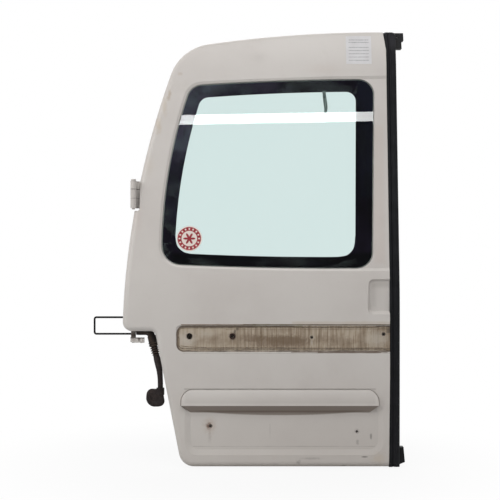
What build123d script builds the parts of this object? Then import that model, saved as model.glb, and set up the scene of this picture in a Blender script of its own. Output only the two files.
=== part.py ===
"""Left rear barn door of a small camper van, with its hinges, glass, seal and check link.

Millimetres. X runs to the right as the door is seen from outside, Y runs from
outside towards the vehicle, Z runs up. The origin lies on the bolted face of the
upper hinge's pillar leaf, midway between its two bolt holes.
"""
import math
import os

from build123d import *

# Driving sizes: right edge, sill and roof edge of the door
RIGHT_X = 678.0
BOTTOM_Z = -713.0
TOP_Z = 440.0

# Driving sizes: sheet, pressing depths and the side profile
SHEET = 1.2
FRONT_Y = -60.0
PAN_DEPTH = 20.0
EDGE_ROUND = 15.0
LEAN = 7.5
WAIST_Z = -317.0
WAIST_R = 800.0
HEAD_Z = TOP_Z - 105.0
HEAD_R = 420.0
INNER_DEPTH = 62.0

# Driving sizes: rest of the door's outline
TOP_RIGHT_X = RIGHT_X - 7.0
FLAG_Z = -360.0
FLAG_X = -18.0
SLOPE_X = 66.0
FOOT_X = 135.0
SHOULDER_R = 125.0
FLAG_R = 24.0
NOTCH_R = 14.0
HINGE_GAP_X = 21.2
FOOT_R = 40.0

# Driving sizes: pressings of the lower panel
STRIP_X = 121.0
STRIP_Z0 = -414.0
STRIP_Z1 = -343.0
STRIP_DEPTH = 3.0
FINGER_X = RIGHT_X - 56.0
FINGER_DEPTH = 8.0
RIB_X0 = 133.0
RIB_X1 = RIGHT_X - 27.0
RIB_TOP_Z = -509.0
RIB_CREST_Z = -552.0
RIB_BASE_Z = -573.0
RIB_PROUD = 11.0
RIB_STEP = 2.5
RIB_CORNER = 38.0
RIB_HEEL = 26.0
LOWER_DEPTH = 4.5
STRIP_HOLES = [(156.4, -372.5, 7.8), (268.5, -372.5, 7.8), (474.7, -375.0, 3.9), (RIGHT_X - 16.4, -367.0, 3.3)]
PLATE_HOLES = [(210.5, -606.0, 4.0), (592.0, -620.5, 3.0)]

# Driving sizes: inner panel openings (left, right, low, high, corner) and the edge seal
ACCESS = [
    (165, 395, -590, -425, 28),
    (425, RIGHT_X - 63, -590, -425, 28),
    (RIGHT_X - 118, RIGHT_X - 46, -335, -250, 16),
]
LIP = 9.0
BEAD = (150, RIGHT_X - 140, -404, -348)
BEAD_DEPTH = 6.0
PLUG_R = 11.0
PLUGS = [(200, -655), (400, -655), (RIGHT_X - 60, -655), (RIGHT_X - 90, -376)]
BRACE = (-530, -490)
GLUE_GAP = 8.0
STOPS = [(RIGHT_X - 12, BOTTOM_Z + 73), (RIGHT_X - 12, WAIST_Z - 20)]
SEAL_W = 27.0
GUIDE_T = 24.0

# Driving sizes: hinges
PIN_X = 8.0
PIN_Y = -30.0
PIN_R = 4.0
BARREL_R = 8.0
LEAF_T = 5.0
LOW_Z = -390.0
BOLT_GAP = 36.0
BOLT_HOLE_R = 4.5
PIN_PLAY = 0.08

LOW_BARREL_R = 6.5
JAMB_X = 24.0
JAMB_R = 8.0

# Driving sizes: window
GLASS_T = 4.0
GLASS_GAP = 2.5
BAND_DEPTH = 3.5
BAND_RUN = 8.0
POCKET_DEPTH = 8.6
GLASS_DEPTH = 3.0
BORDER_T = 0.4

# Driving sizes: check link and harness
WIRE_R = 2.5
LINK_X = 10.0
LINK_Y = -8.0
LINK_TOP_Z = -325.8
LINK_LOW_Z = -369.6
LINK_END_X = -97.0
WIRE_PLAY = 0.08
BOOT_Y = -20.0
BOOT_R = 9.0
ELBOW_R = 9.5
DROP_R = 11.5
GROMMET_R = 23.0

SIN = math.sin(math.radians(LEAN))
COS = math.cos(math.radians(LEAN))

os.makedirs("parts", exist_ok=True)


def save(shape, name):
    """Writes one named solid."""
    export_step(shape, "parts/" + name + ".step")


def facing(y):
    """Plane square to Y whose sketch axes are X and Z."""
    return Plane((0, y, 0), x_dir=(1, 0, 0), z_dir=(0, -1, 0))


def waist_point(angle, inset):
    """Point of the waist arc, as (y, z)."""
    r = WAIST_R - inset
    a = math.radians(angle)
    return (FRONT_Y + WAIST_R - r * math.cos(a), WAIST_Z + r * math.sin(a))


WAIST_TOP = waist_point(LEAN, 0)
HEAD_START = (WAIST_TOP[0] + (HEAD_Z - WAIST_TOP[1]) * SIN / COS, HEAD_Z)
HEAD_CENTRE = (HEAD_START[0] + HEAD_R * COS, HEAD_START[1] - HEAD_R * SIN)


def head_point(angle, inset):
    """Point of the header arc, as (y, z)."""
    r = HEAD_R - inset
    a = math.radians(angle)
    return (HEAD_CENTRE[0] - r * math.cos(a), HEAD_CENTRE[1] + r * math.sin(a))


def profile_edges(inset):
    """Side profile from the sill to above the roof edge, moved inwards by inset."""
    low = (FRONT_Y + inset, BOTTOM_Z - 90)
    a = (FRONT_Y + inset, WAIST_Z)
    b = waist_point(LEAN / 2, inset)
    c = waist_point(LEAN, inset)
    d = head_point(LEAN, inset)
    e = head_point(LEAN + 11, inset)
    f = head_point(LEAN + 22, inset)
    return low, a, b, c, d, e, f


def slab(near, far):
    """Everything between two depths behind the front surface."""
    n = profile_edges(near)
    k = profile_edges(far)
    edges = [
        Line(n[0], n[1]),
        ThreePointArc(n[1], n[2], n[3]),
        Line(n[3], n[4]),
        ThreePointArc(n[4], n[5], n[6]),
        Line(n[6], k[6]),
        ThreePointArc(k[6], k[5], k[4]),
        Line(k[4], k[3]),
        ThreePointArc(k[3], k[2], k[1]),
        Line(k[1], k[0]),
        Line(k[0], n[0]),
    ]
    side = Plane((-200, 0, 0), x_dir=(0, 1, 0), z_dir=(1, 0, 0))
    return extrude(side * make_face(edges), amount=1100)


def rounded(sketch, corners):
    """Rounds the named corners of a sketch, each with its own radius."""
    for x, z, r in corners:
        here = Vector(x, z, 0)
        corner = min(sketch.vertices(), key=lambda v: (Vector(v.X, v.Y, 0) - here).length)
        sketch = fillet(corner, r)
    return sketch


def grown(sketch, amount):
    """The same outline moved outwards, or inwards when amount is negative, in plain lines and arcs."""
    edges = []
    for edge in offset(sketch, amount=amount, kind=Kind.INTERSECTION).edges():
        if edge.geom_type == GeomType.LINE:
            edges.append(Line(edge @ 0, edge @ 1))
        else:
            edges.append(ThreePointArc(edge @ 0, edge @ 0.5, edge @ 1))
    return make_face(edges)


def prism(sketch, y0, y1):
    """Runs an X-Z sketch from one Y to another."""
    return extrude(facing(y0) * sketch, amount=-(y1 - y0))


def circle_through(a, b, c):
    """Centre and radius of the circle through three points."""
    d = 2 * (a[0] * (b[1] - c[1]) + b[0] * (c[1] - a[1]) + c[0] * (a[1] - b[1]))
    aa, bb, cc = (p[0] ** 2 + p[1] ** 2 for p in (a, b, c))
    x = (aa * (b[1] - c[1]) + bb * (c[1] - a[1]) + cc * (a[1] - b[1])) / d
    z = (aa * (c[0] - b[0]) + bb * (a[0] - c[0]) + cc * (b[0] - a[0])) / d
    return x, z, math.hypot(a[0] - x, a[1] - z)


TOP_ARC = circle_through((TOP_RIGHT_X, TOP_Z), (449, TOP_Z - 7.3), (206.6, TOP_Z - 33.6))
LEFT_ARC = circle_through((101.0, TOP_Z - 121.6), (16.7, -3), (FLAG_X, -325))


def top_z(x):
    """Height of the door's top edge."""
    return TOP_ARC[1] + math.sqrt(TOP_ARC[2] ** 2 - (x - TOP_ARC[0]) ** 2)


def left_x(z):
    """Place of the door's left edge."""
    return LEFT_ARC[0] - math.sqrt(LEFT_ARC[2] ** 2 - (z - LEFT_ARC[1]) ** 2)


def door_outline():
    """Outline of the outer skin, in X and Z."""
    corner_x = 120.0
    for _ in range(30):
        corner_x = left_x(top_z(corner_x))
    corner = (corner_x, top_z(corner_x))
    flag = (left_x(FLAG_Z), FLAG_Z)
    edges = [
        ThreePointArc((TOP_RIGHT_X, TOP_Z), (400, top_z(400)), corner),
        ThreePointArc(corner, (left_x(0), 0), flag),
        Line(flag, (SLOPE_X, FLAG_Z)),
        Line((SLOPE_X, FLAG_Z), (FOOT_X, BOTTOM_Z)),
        Line((FOOT_X, BOTTOM_Z), (RIGHT_X - 2.5, BOTTOM_Z)),
        Line((RIGHT_X - 2.5, BOTTOM_Z), (RIGHT_X, -480)),
        Line((RIGHT_X, -480), (RIGHT_X, TOP_Z - 52)),
        Line((RIGHT_X, TOP_Z - 52), (TOP_RIGHT_X, TOP_Z)),
    ]
    corners = [
        (corner[0], corner[1], SHOULDER_R),
        (flag[0], flag[1], FLAG_R),
        (SLOPE_X, FLAG_Z, NOTCH_R),
        (FOOT_X, BOTTOM_Z, FOOT_R),
    ]
    return rounded(make_face(edges), corners)


def window_shape(tl, tr, br, bl, bulges, radii):
    """Closed outline on the leaning window plane, from corners and points on its curved sides."""
    tl, tr, br, bl = ((x, z / COS) for x, z in (tl, tr, br, bl))
    top, low, left = ((x, z / COS) for x, z in bulges)
    edges = [
        ThreePointArc(tl, top, tr),
        Line(tr, br),
        ThreePointArc(br, low, bl),
        ThreePointArc(bl, left, tl),
    ]
    corners = [(c[0], c[1], r) for c, r in zip((tl, tr, br, bl), radii) if r]
    return rounded(make_face(edges), corners)


def lean_plane(depth):
    """Window plane at a depth behind the front surface; its sketch axes are X and up."""
    y = WAIST_TOP[0] - WAIST_TOP[1] * SIN / COS
    return Plane((0, y + depth * COS, -depth * SIN), x_dir=(1, 0, 0), z_dir=(0, -COS, SIN))


OUTLINE = door_outline()
FAR_X = RIGHT_X + 60
GLASS = window_shape(
    (158, TOP_Z - 150), (RIGHT_X - 34.5, TOP_Z - 133.5), (RIGHT_X - 45, -193.5), (85, -183),
    [(400, TOP_Z - 137.5), (360, -192.5), (97, 40)], (42, 40, 42, 50),
)


def clear_shape(g):
    """Inner edge of the window's black border, widened by g."""
    right = RIGHT_X + g
    top = TOP_Z + g
    return window_shape(
        (184 - 1.03 * g, top - 182), (right - 82, top - 165.5), (right - 88.5, -165 - g), (117.5 - g, -155 - g),
        [(400, top - 169.5), (360, -164 - g), (133 - 1.03 * g, 40)], (28 + g, 26 + g, 26 + g, 28 + g),
    )


CLEAR = clear_shape(0)
BAND = window_shape(
    (151, TOP_Z - 141), (FAR_X, TOP_Z - 123), (FAR_X, -202), (76, -191),
    [(400, TOP_Z - 129), (360, -201), (88, 42)], (48, 0, 0, 56),
)


def front_y(z, inset):
    """Place of the front surface at a height."""
    if z <= WAIST_Z:
        return FRONT_Y + inset
    low = waist_point(LEAN, inset)
    if z <= low[1]:
        return FRONT_Y + WAIST_R - math.sqrt((WAIST_R - inset) ** 2 - (z - WAIST_Z) ** 2)
    high = head_point(LEAN, inset)
    if z <= high[1]:
        return low[0] + (z - low[1]) * SIN / COS
    return HEAD_CENTRE[0] - math.sqrt((HEAD_R - inset) ** 2 - (z - HEAD_CENTRE[1]) ** 2)


def shell_block(inset, back):
    """Outline pressed to the side profile, its outer edge rounded, moved inwards by inset."""
    outline = OUTLINE if inset == 0 else grown(OUTLINE, -inset)
    block = prism(outline, FRONT_Y - 40, 160) & slab(inset, back)
    rim = []
    for edge in block.edges():
        mid = edge @ 0.5
        on_front = abs(mid.Y - front_y(mid.Z, inset)) < 0.02
        on_rim = min(e.distance_to(Vertex(mid.X, mid.Z, 0)) for e in outline.edges()) < 0.02
        if on_front and on_rim and mid.X < RIGHT_X - 18:
            rim.append(edge)
    return fillet(rim, EDGE_ROUND - inset)


def flat_plane(depth):
    """Plane of the lower panel at a depth behind the front surface."""
    return facing(FRONT_Y + depth)


def press(sketch, plane, top, depth, run, inset, wider=0.0):
    """Cutter for a pressed recess whose sides slope in by run over its depth."""
    grow = wider + inset * (math.hypot(run, depth) - run) / depth
    mouth = (3 + inset) * run / depth + grow
    near = plane(top - 3) * grown(sketch, mouth)
    far = plane(top + depth + inset) * grown(sketch, grow - run)
    return loft([near, far], ruled=True)


def panel_rect(x0, x1, z0, z1, corners):
    """Rectangle in X and Z with chosen corner radii."""
    sketch = make_face(Polyline((x0, z0), (x1, z0), (x1, z1), (x0, z1), close=True))
    return rounded(sketch, corners)


STRIP = panel_rect(
    STRIP_X, RIGHT_X + 60, STRIP_Z0, STRIP_Z1, [(STRIP_X, STRIP_Z0, 22), (STRIP_X, STRIP_Z1, 13)]
)
FINGER = panel_rect(FINGER_X, RIGHT_X + 60, -313, -222, [(FINGER_X, -313, 14), (FINGER_X, -222, 14)])
RIB = rounded(
    make_face(
        Polyline(
            (RIB_X0 + RIB_HEEL, RIB_BASE_Z), (RIB_X1 - RIB_HEEL, RIB_BASE_Z), (RIB_X1, RIB_CREST_Z - 2),
            (RIB_X1, RIB_TOP_Z), (RIB_X0, RIB_TOP_Z), (RIB_X0, RIB_CREST_Z - 2), close=True,
        )
    ),
    [
        (RIB_X0, RIB_TOP_Z, min(RIB_CORNER, 0.8 * (RIB_TOP_Z - RIB_CREST_Z))),
        (RIB_X1, RIB_TOP_Z, min(RIB_CORNER, 0.8 * (RIB_TOP_Z - RIB_CREST_Z))),
        (RIB_X0 + RIB_HEEL, RIB_BASE_Z, 12),
        (RIB_X1 - RIB_HEEL, RIB_BASE_Z, 12),
    ],
)
LOWER = panel_rect(
    144, RIGHT_X - 16, BOTTOM_Z + 31, RIB_CREST_Z + 4,
    [
        (144, BOTTOM_Z + 31, 36), (RIGHT_X - 16, BOTTOM_Z + 31, 36),
        (144, RIB_CREST_Z + 4, 20), (RIGHT_X - 16, RIB_CREST_Z + 4, 20),
    ],
)


def rib_wedge(inset):
    """Grip moulding: a rounded slope that stands out to a crest and turns under."""
    root = FRONT_Y + RIB_STEP + inset
    crest = FRONT_Y - RIB_PROUD + inset
    heel = FRONT_Y + LOWER_DEPTH + inset
    top = RIB_TOP_Z - 2
    mid = (0.35 * root + 0.65 * crest, 0.5 * (top + RIB_CREST_Z) + 3)
    edges = [
        Line((heel + 6, top), (root, top)),
        ThreePointArc((root, top), mid, (crest, RIB_CREST_Z + inset)),
        Line((crest, RIB_CREST_Z + inset), (heel, RIB_BASE_Z + 2 + inset)),
        Line((heel, RIB_BASE_Z + 2 + inset), (heel + 6, RIB_BASE_Z + 2 + inset)),
        Line((heel + 6, RIB_BASE_Z + 2 + inset), (heel + 6, top)),
    ]
    side = Plane((RIB_X0 - 20, 0, 0), x_dir=(0, 1, 0), z_dir=(1, 0, 0))
    wedge = extrude(side * make_face(edges), amount=RIB_X1 - RIB_X0 + 40)
    rise = RIB_PROUD + LOWER_DEPTH + 8
    foot = flat_plane(LOWER_DEPTH + inset + 8) * grown(RIB, -inset - 0.6)
    brow = flat_plane(inset - RIB_PROUD) * grown(RIB, -inset - 0.6 - 0.12 * rise)
    return wedge & loft([foot, brow], ruled=True)


def skin_form(inset, back):
    """The pressed front of the door, moved inwards by inset."""
    form = shell_block(inset, back)
    form -= press(BAND, lean_plane, 0, BAND_DEPTH, BAND_RUN, inset)
    form -= press(GLASS, lean_plane, BAND_DEPTH, POCKET_DEPTH - BAND_DEPTH, 1.5, inset, GLASS_GAP)
    form -= press(STRIP, flat_plane, 0, STRIP_DEPTH, 3.0, inset)
    form -= press(FINGER, flat_plane, 3, FINGER_DEPTH, 6.0, inset)
    form -= press(LOWER, flat_plane, 0, LOWER_DEPTH, 15.0, inset)
    form -= press(RIB, flat_plane, 0, RIB_STEP, 1.5, inset)
    return form + rib_wedge(inset)


def drill(x, z, r):
    """A hole through the front panel."""
    return Cylinder(r, 60, rotation=(90, 0, 0)).moved(Location((x, FRONT_Y, z)))


def outer_skin():
    """Outer sheet with its pressings, window opening and holes."""
    skin = skin_form(0, PAN_DEPTH) - skin_form(SHEET, 90)
    opening = extrude(lean_plane(-20) * clear_shape(6), amount=-60)
    skin -= opening
    for x, z, r in STRIP_HOLES + PLATE_HOLES:
        skin -= drill(x, z, r)
    return skin - hinge_notch()


def lean_ring(outer, inner, near, far):
    """Ring between two outlines on the window plane, from one depth to another."""
    ring = extrude(lean_plane(near) * outer, amount=near - far)
    return ring - extrude(lean_plane(near - 1) * inner, amount=near - far - 2)


BORDER_DEPTH = GLASS_DEPTH + GLASS_T
GLUE_DEPTH = BORDER_DEPTH + BORDER_T
save(extrude(lean_plane(GLASS_DEPTH) * GLASS, amount=-GLASS_T), "window_glass")
save(lean_ring(grown(GLASS, -0.6), CLEAR, BORDER_DEPTH, GLUE_DEPTH), "window_border")
save(lean_ring(grown(GLASS, -6), clear_shape(12), GLUE_DEPTH, POCKET_DEPTH), "window_adhesive")


def tray_outline():
    """Outline of the raised part of the inner panel, in X and Z."""
    knee = (left_x(84) + 20, 84)
    corner_x = 150.0
    for _ in range(30):
        corner_x = left_x(top_z(corner_x) - 26) + 20
    corner = (corner_x, top_z(corner_x) - 26)
    right = RIGHT_X - 22
    low = BOTTOM_Z + 21
    ledge = FLAG_Z + 8
    edges = [
        Line((JAMB_X, ledge), (JAMB_X, 14)),
        Line((JAMB_X, 14), knee),
        ThreePointArc(knee, (left_x(220) + 20, 220), corner),
        ThreePointArc(corner, (400, top_z(400) - 26), (right, top_z(right) - 26)),
        Line((right, top_z(right) - 26), (right, low)),
        Line((right, low), (FOOT_X + 26, low)),
        Line((FOOT_X + 26, low), (SLOPE_X + 26, ledge)),
        Line((SLOPE_X + 26, ledge), (JAMB_X, ledge)),
    ]
    corners = [
        (JAMB_X, ledge, 12),
        (JAMB_X, 14, 20),
        (knee[0], knee[1], 20),
        (corner[0], corner[1], 90),
        (right, top_z(right) - 26, 25),
        (right, low, 25),
        (FOOT_X + 26, low, 30),
        (SLOPE_X + 26, ledge, 14),
    ]
    return rounded(make_face(edges), corners)


TRAY = tray_outline()


def tray_block(inset, near):
    """Raised part of the inner panel as a full block, moved inwards by inset."""
    outline = TRAY if inset == 0 else grown(TRAY, -inset)
    block = prism(outline, FRONT_Y - 40, 160) & slab(near, INNER_DEPTH - inset)
    rim = []
    for edge in block.edges():
        mid = edge @ 0.5
        on_back = abs(mid.Y - front_y(mid.Z, INNER_DEPTH - inset)) < 0.02
        on_rim = min(e.distance_to(Vertex(mid.X, mid.Z, 0)) for e in outline.edges()) < 0.02
        if on_back and on_rim:
            rim.append(edge)
    return fillet(rim, JAMB_R - inset)


def window_well(grow, near, far):
    """Sloping funnel from the window opening out to the face of the inner panel."""
    mouth = lean_plane(far) * clear_shape(36 + grow)
    return loft([lean_plane(near) * clear_shape(8 + grow), mouth], ruled=True)


def hinge_notch():
    """Room in the door's edge for the upper hinge."""
    sketch = panel_rect(-60, HINGE_GAP_X, -45, 41.5, [(HINGE_GAP_X, -45, 6), (HINGE_GAP_X, 41.5, 6)])
    deep = panel_rect(-60, JAMB_X, -45, 41.5, [(JAMB_X, -45, 6), (JAMB_X, 41.5, 6)])
    return prism(sketch, FRONT_Y - 40, FRONT_Y + 45) + prism(deep, PIN_Y - 8, 160)


def back_plane(depth):
    """Plane of the inner panel's flat lower face, at a depth in from it."""
    return flat_plane(INNER_DEPTH - depth)


def tray_form(inset, near):
    """Raised part of the inner panel with its pressed bead, moved inwards by inset."""
    x0, x1, z0, z1 = BEAD
    bead = panel_rect(x0, x1, z0, z1, [(x0, z0, 20), (x1, z0, 20), (x1, z1, 20), (x0, z1, 20)])
    return tray_block(inset, near) - press(bead, back_plane, 0, BEAD_DEPTH, BEAD_DEPTH, inset)


def access_shape(x0, x1, z0, z1, r):
    """Rounded opening in the inner panel, in X and Z."""
    return panel_rect(x0, x1, z0, z1, [(x0, z0, r), (x1, z0, r), (x1, z1, r), (x0, z1, r)])


def inner_panel():
    """Inner sheet: rim flange, raised tray, window funnel and lipped access openings."""
    panel = tray_form(0, PAN_DEPTH - SHEET) - tray_form(SHEET, PAN_DEPTH - 12)
    flange = prism(grown(OUTLINE, -SHEET), FRONT_Y - 40, 160) & slab(PAN_DEPTH - SHEET, PAN_DEPTH)
    flange -= prism(grown(TRAY, -SHEET), FRONT_Y - 40, 160)
    panel += flange - hinge_notch()
    seat = POCKET_DEPTH + SHEET
    panel += window_well(SHEET, seat, INNER_DEPTH + 3) & slab(0, INNER_DEPTH)
    panel += extrude(lean_plane(seat) * clear_shape(18), amount=-SHEET)
    panel -= window_well(0, seat - 0.5, INNER_DEPTH + 3.5)
    for opening in ACCESS:
        sketch = access_shape(*opening)
        panel += prism(grown(sketch, SHEET), FRONT_Y, 160) & slab(INNER_DEPTH - LIP, INNER_DEPTH)
        panel -= prism(sketch, FRONT_Y + PAN_DEPTH + 8, 160)
    for x, z in PLUGS:
        panel -= prism(Pos(x, z) * Circle(PLUG_R), INNER_DEPTH + FRONT_Y - 15, 160)
    return panel


save(outer_skin(), "outer_skin")
save(inner_panel(), "inner_panel")

# Rubber plugs in the inner panel's lower holes
for number, (x, z) in enumerate(PLUGS, 1):
    face = FRONT_Y + INNER_DEPTH
    plug = prism(Pos(x, z) * Circle(PLUG_R), face - 6, face)
    plug += prism(Pos(x, z) * Circle(PLUG_R + 3), face, face + 2)
    plug -= prism(Pos(x, z) * Circle(PLUG_R - 4), face - 2, face + 5)
    save(plug, "panel_plug_" + str(number))

# Brace across the hollow of the door, welded to the lips of the access openings
brace_face = INNER_DEPTH - LIP
hat = [
    (GLUE_GAP, BRACE[0] + 12),
    (GLUE_GAP, BRACE[1] - 12),
    (brace_face - SHEET, BRACE[1] - 6),
    (brace_face - SHEET, BRACE[1] + 8),
    (brace_face, BRACE[1] + 8),
    (brace_face, BRACE[1] - 7),
    (GLUE_GAP + SHEET, BRACE[1] - 13),
    (GLUE_GAP + SHEET, BRACE[0] + 13),
    (brace_face, BRACE[0] + 7),
    (brace_face, BRACE[0] - 8),
    (brace_face - SHEET, BRACE[0] - 8),
    (brace_face - SHEET, BRACE[0] + 6),
]
across = Plane((FOOT_X + 12, 0, 0), x_dir=(0, 1, 0), z_dir=(1, 0, 0))
points = [(FRONT_Y + depth, z) for depth, z in hat]
save(extrude(across * make_face(Polyline(*points, close=True)), amount=RIGHT_X - 50 - FOOT_X), "door_brace")

# Rubber stops on the rim flange
for number, (x, z) in enumerate(STOPS, 1):
    level = front_y(z, PAN_DEPTH)
    stop = extrude(facing(level + 8) * Pos(x, z) * Circle(7), amount=8, taper=-8)
    save(stop, ("lower", "upper")[number - 1] + "_rubber_stop")


def seal_strand(a, b, near, far):
    """One run of the edge seal between two distances from the door's right edge."""
    sides = [
        (RIGHT_X - 2.5, BOTTOM_Z, 1.08),
        (RIGHT_X, -480, 1.0),
        (RIGHT_X, TOP_Z - 52, 1.03),
        (TOP_RIGHT_X, TOP_Z, 1.36),
    ]
    points = [(x + a * k, z) for x, z, k in sides] + [(x + b * k, z) for x, z, k in reversed(sides)]
    return prism(make_face(Polyline(*points, close=True)), FRONT_Y - 40, 160) & slab(near, far)


seal = seal_strand(0, 9, 3.5, 19) + seal_strand(8, 14, 7, 17) + seal_strand(13, SEAL_W, 4.5, 18)
save(seal, "edge_weatherstrip")

# Guide blocks at the free edge's corners
GUIDE_X0 = RIGHT_X - 20
GUIDE_X1 = RIGHT_X + 51
upper_block = make_face(
    Polyline(
        (GUIDE_X0, TOP_Z - 45), (GUIDE_X1 - 6, TOP_Z - 45), (GUIDE_X1 - 6, TOP_Z - 22), (GUIDE_X1, TOP_Z - 22),
        (GUIDE_X1, TOP_Z), (GUIDE_X0, TOP_Z), close=True,
    )
)
upper = prism(upper_block, FRONT_Y, 160) & slab(PAN_DEPTH, PAN_DEPTH + GUIDE_T)
hole = Cylinder(3, 400, rotation=(90, 0, 0)).moved(Location((RIGHT_X + 35, 40, TOP_Z - 12)))
save(upper - hole, "upper_guide_block")
lower_block = make_face(
    Polyline(
        (GUIDE_X0, BOTTOM_Z + 4), (GUIDE_X1 - 24, BOTTOM_Z + 4), (GUIDE_X1 - 9.5, BOTTOM_Z + 10),
        (GUIDE_X1 - 13, BOTTOM_Z + 49), (GUIDE_X0, BOTTOM_Z + 49), close=True,
    )
)
save(prism(lower_block, FRONT_Y, 160) & slab(PAN_DEPTH, PAN_DEPTH + GUIDE_T), "lower_guide_block")


def upright(x, y, r, z0, z1):
    """Upright round bar."""
    return Cylinder(r, z1 - z0, align=(Align.CENTER, Align.CENTER, Align.MIN)).moved(Location((x, y, z0)))


def slab_box(x0, x1, y0, y1, z0, z1):
    """Box between two corners."""
    box = Box(x1 - x0, y1 - y0, z1 - z0, align=(Align.MIN, Align.MIN, Align.MIN))
    return box.moved(Location((x0, y0, z0)))


def cross_bar(y, z, r):
    """Round cutter along X for a bolt hole."""
    return Cylinder(r, 200, rotation=(0, 90, 0)).moved(Location((0, y, z)))


def plan(points, z0, z1):
    """Runs a plan shape, drawn in X and Y, from one height to another."""
    return extrude(Plane((0, 0, z0)) * make_face(Polyline(*points, close=True)), amount=z1 - z0)


# Upper hinge
leaf = upright(PIN_X, PIN_Y, BARREL_R, -12, 11.5)
leaf += slab_box(0, LEAF_T, PIN_Y, -15, -12, 11.5)
leaf += slab_box(0, LEAF_T, -16, 24, -28, 28)
leaf -= upright(PIN_X, PIN_Y, PIN_R + PIN_PLAY, -40, 40)
leaf -= cross_bar(0, BOLT_GAP / 2, BOLT_HOLE_R) + cross_bar(0, -BOLT_GAP / 2, BOLT_HOLE_R)
save(leaf, "upper_hinge_pillar_leaf")

arm = [(11, PIN_Y), (16, PIN_Y), (16, -15), (JAMB_X, -11), (JAMB_X, -4), (JAMB_X - LEAF_T, -4), (11, -12)]
door_leaf = upright(PIN_X, PIN_Y, BARREL_R, 12, 33) + upright(PIN_X, PIN_Y, BARREL_R, -38, -12.5)
door_leaf += plan(arm, 12, 33) + plan(arm, -38, -12.5)
web = [(13.5, -14), (JAMB_X, -11), (JAMB_X, -4), (JAMB_X - LEAF_T, -4), (13.5, -9)]
door_leaf += plan(web, -38, 33)
door_leaf += slab_box(JAMB_X - LEAF_T, JAMB_X, -6, 26, -38, 33)
door_leaf -= upright(PIN_X, PIN_Y, PIN_R, -60, 60)
save(door_leaf, "upper_hinge_door_leaf")
pin = upright(PIN_X, PIN_Y, PIN_R, -41.5, 33) + upright(PIN_X, PIN_Y, BARREL_R - 1.5, 33, 38)
save(pin, "upper_hinge_pin")

# Lower hinge
leaf = upright(PIN_X, PIN_Y, LOW_BARREL_R, LOW_Z, LOW_Z + 12.5)
leaf += slab_box(0, LEAF_T, PIN_Y, 44, LOW_Z, LOW_Z + 12.5)
leaf += slab_box(PIN_X, 37, PIN_Y - 6, PIN_Y, LOW_Z - 1, LOW_Z + 12.5)
leaf -= upright(PIN_X, PIN_Y, PIN_R + PIN_PLAY, LOW_Z - 20, LOW_Z + 40)
leaf -= cross_bar(8, LOW_Z + 6.25, 3.3) + cross_bar(32, LOW_Z + 6.25, 3.3)
save(leaf, "lower_hinge_pillar_leaf")
stay = Cylinder(7, 8, rotation=(90, 0, 0)).moved(Location((30, PIN_Y - 10, LOW_Z + 5.5)))
save(stay, "lower_hinge_stay_bolt")

door_leaf = upright(PIN_X, PIN_Y, LOW_BARREL_R, LOW_Z + 13, LOW_Z + 72)
door_leaf += slab_box(PIN_X, JAMB_X - 2, PIN_Y - 3, PIN_Y + 3, LOW_Z + 40, LOW_Z + 72)
door_leaf += slab_box(JAMB_X - LEAF_T, JAMB_X, -36, -8, LOW_Z + 68, LOW_Z + 128)
door_leaf += slab_box(JAMB_X - LEAF_T, JAMB_X, -36, PIN_Y + 3, LOW_Z + 40, LOW_Z + 72)
door_leaf -= upright(PIN_X, PIN_Y, PIN_R, LOW_Z - 20, LOW_Z + 140)
save(door_leaf, "lower_hinge_door_leaf")
save(upright(PIN_X, PIN_Y, PIN_R, LOW_Z - 1.5, LOW_Z + 74), "lower_hinge_pin")

# Check link: a bent wire bail in a bracket on the jamb
legs = [
    (LINK_X, LINK_TOP_Z - 17),
    (LINK_X, LINK_TOP_Z),
    (LINK_END_X, LINK_TOP_Z),
    (LINK_END_X, LINK_LOW_Z),
    (LINK_X, LINK_LOW_Z),
    (LINK_X, LINK_LOW_Z + 17),
]
path = facing(LINK_Y) * FilletPolyline(*legs, radius=5)
wire = sweep(Plane(path @ 0, z_dir=path % 0) * Circle(WIRE_R), path=path)
save(wire, "check_link")
bracket = upright(LINK_X, LINK_Y, 6, LINK_LOW_Z + 5.5, LINK_TOP_Z - 5.5)
bracket += slab_box(LINK_X, JAMB_X - 3, LINK_Y - 3, LINK_Y + 3, FLAG_Z + 9, LINK_TOP_Z - 7)
bracket += slab_box(JAMB_X - 4, JAMB_X, LINK_Y - 18, LINK_Y + 3, FLAG_Z + 9, LINK_TOP_Z - 7)
bracket -= upright(LINK_X, LINK_Y, WIRE_R + WIRE_PLAY, LINK_LOW_Z, LINK_TOP_Z)
save(bracket, "check_link_bracket")

# Harness: moulded elbow under the flag, hanging gaiter and its pillar grommet
ledge = FLAG_Z + 8
run_z = FLAG_Z - 2.5
hang_x = SLOPE_X - 5
hang_z = FLAG_Z - 40
bend = facing(BOOT_Y) * FilletPolyline((JAMB_X - 6, run_z), (hang_x - 9, run_z), (hang_x, hang_z), radius=16)
elbow = sweep(Plane(bend @ 0, z_dir=bend % 0) * Circle(ELBOW_R), path=bend)
elbow += slab_box(JAMB_X + 8, hang_x - 6, BOOT_Y - 12, BOOT_Y + 12, run_z, ledge)
lead = bend % 1
throat = Vector(hang_x, BOOT_Y, hang_z) - lead * 27
elbow += extrude(Plane(throat, z_dir=lead) * Circle(DROP_R), amount=27)
save(elbow, "harness_elbow")
first = (hang_x, hang_z)
second = (hang_x + lead.X * 36, hang_z + lead.Z * 36)
grommet_x = hang_x + 17
route = [first, second, (grommet_x, second[1] - 38), (grommet_x, second[1] - 76)]
hang = facing(BOOT_Y) * FilletPolyline(*route, radius=5 * BOOT_R)
save(sweep(Plane(hang @ 0, z_dir=hang % 0) * Circle(BOOT_R), path=hang), "harness_gaiter")
end_z = route[3][1]
grommet = Cylinder(GROMMET_R, 14, rotation=(90, 0, 0)).moved(Location((grommet_x - 14, BOOT_Y, end_z - 26)))
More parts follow.
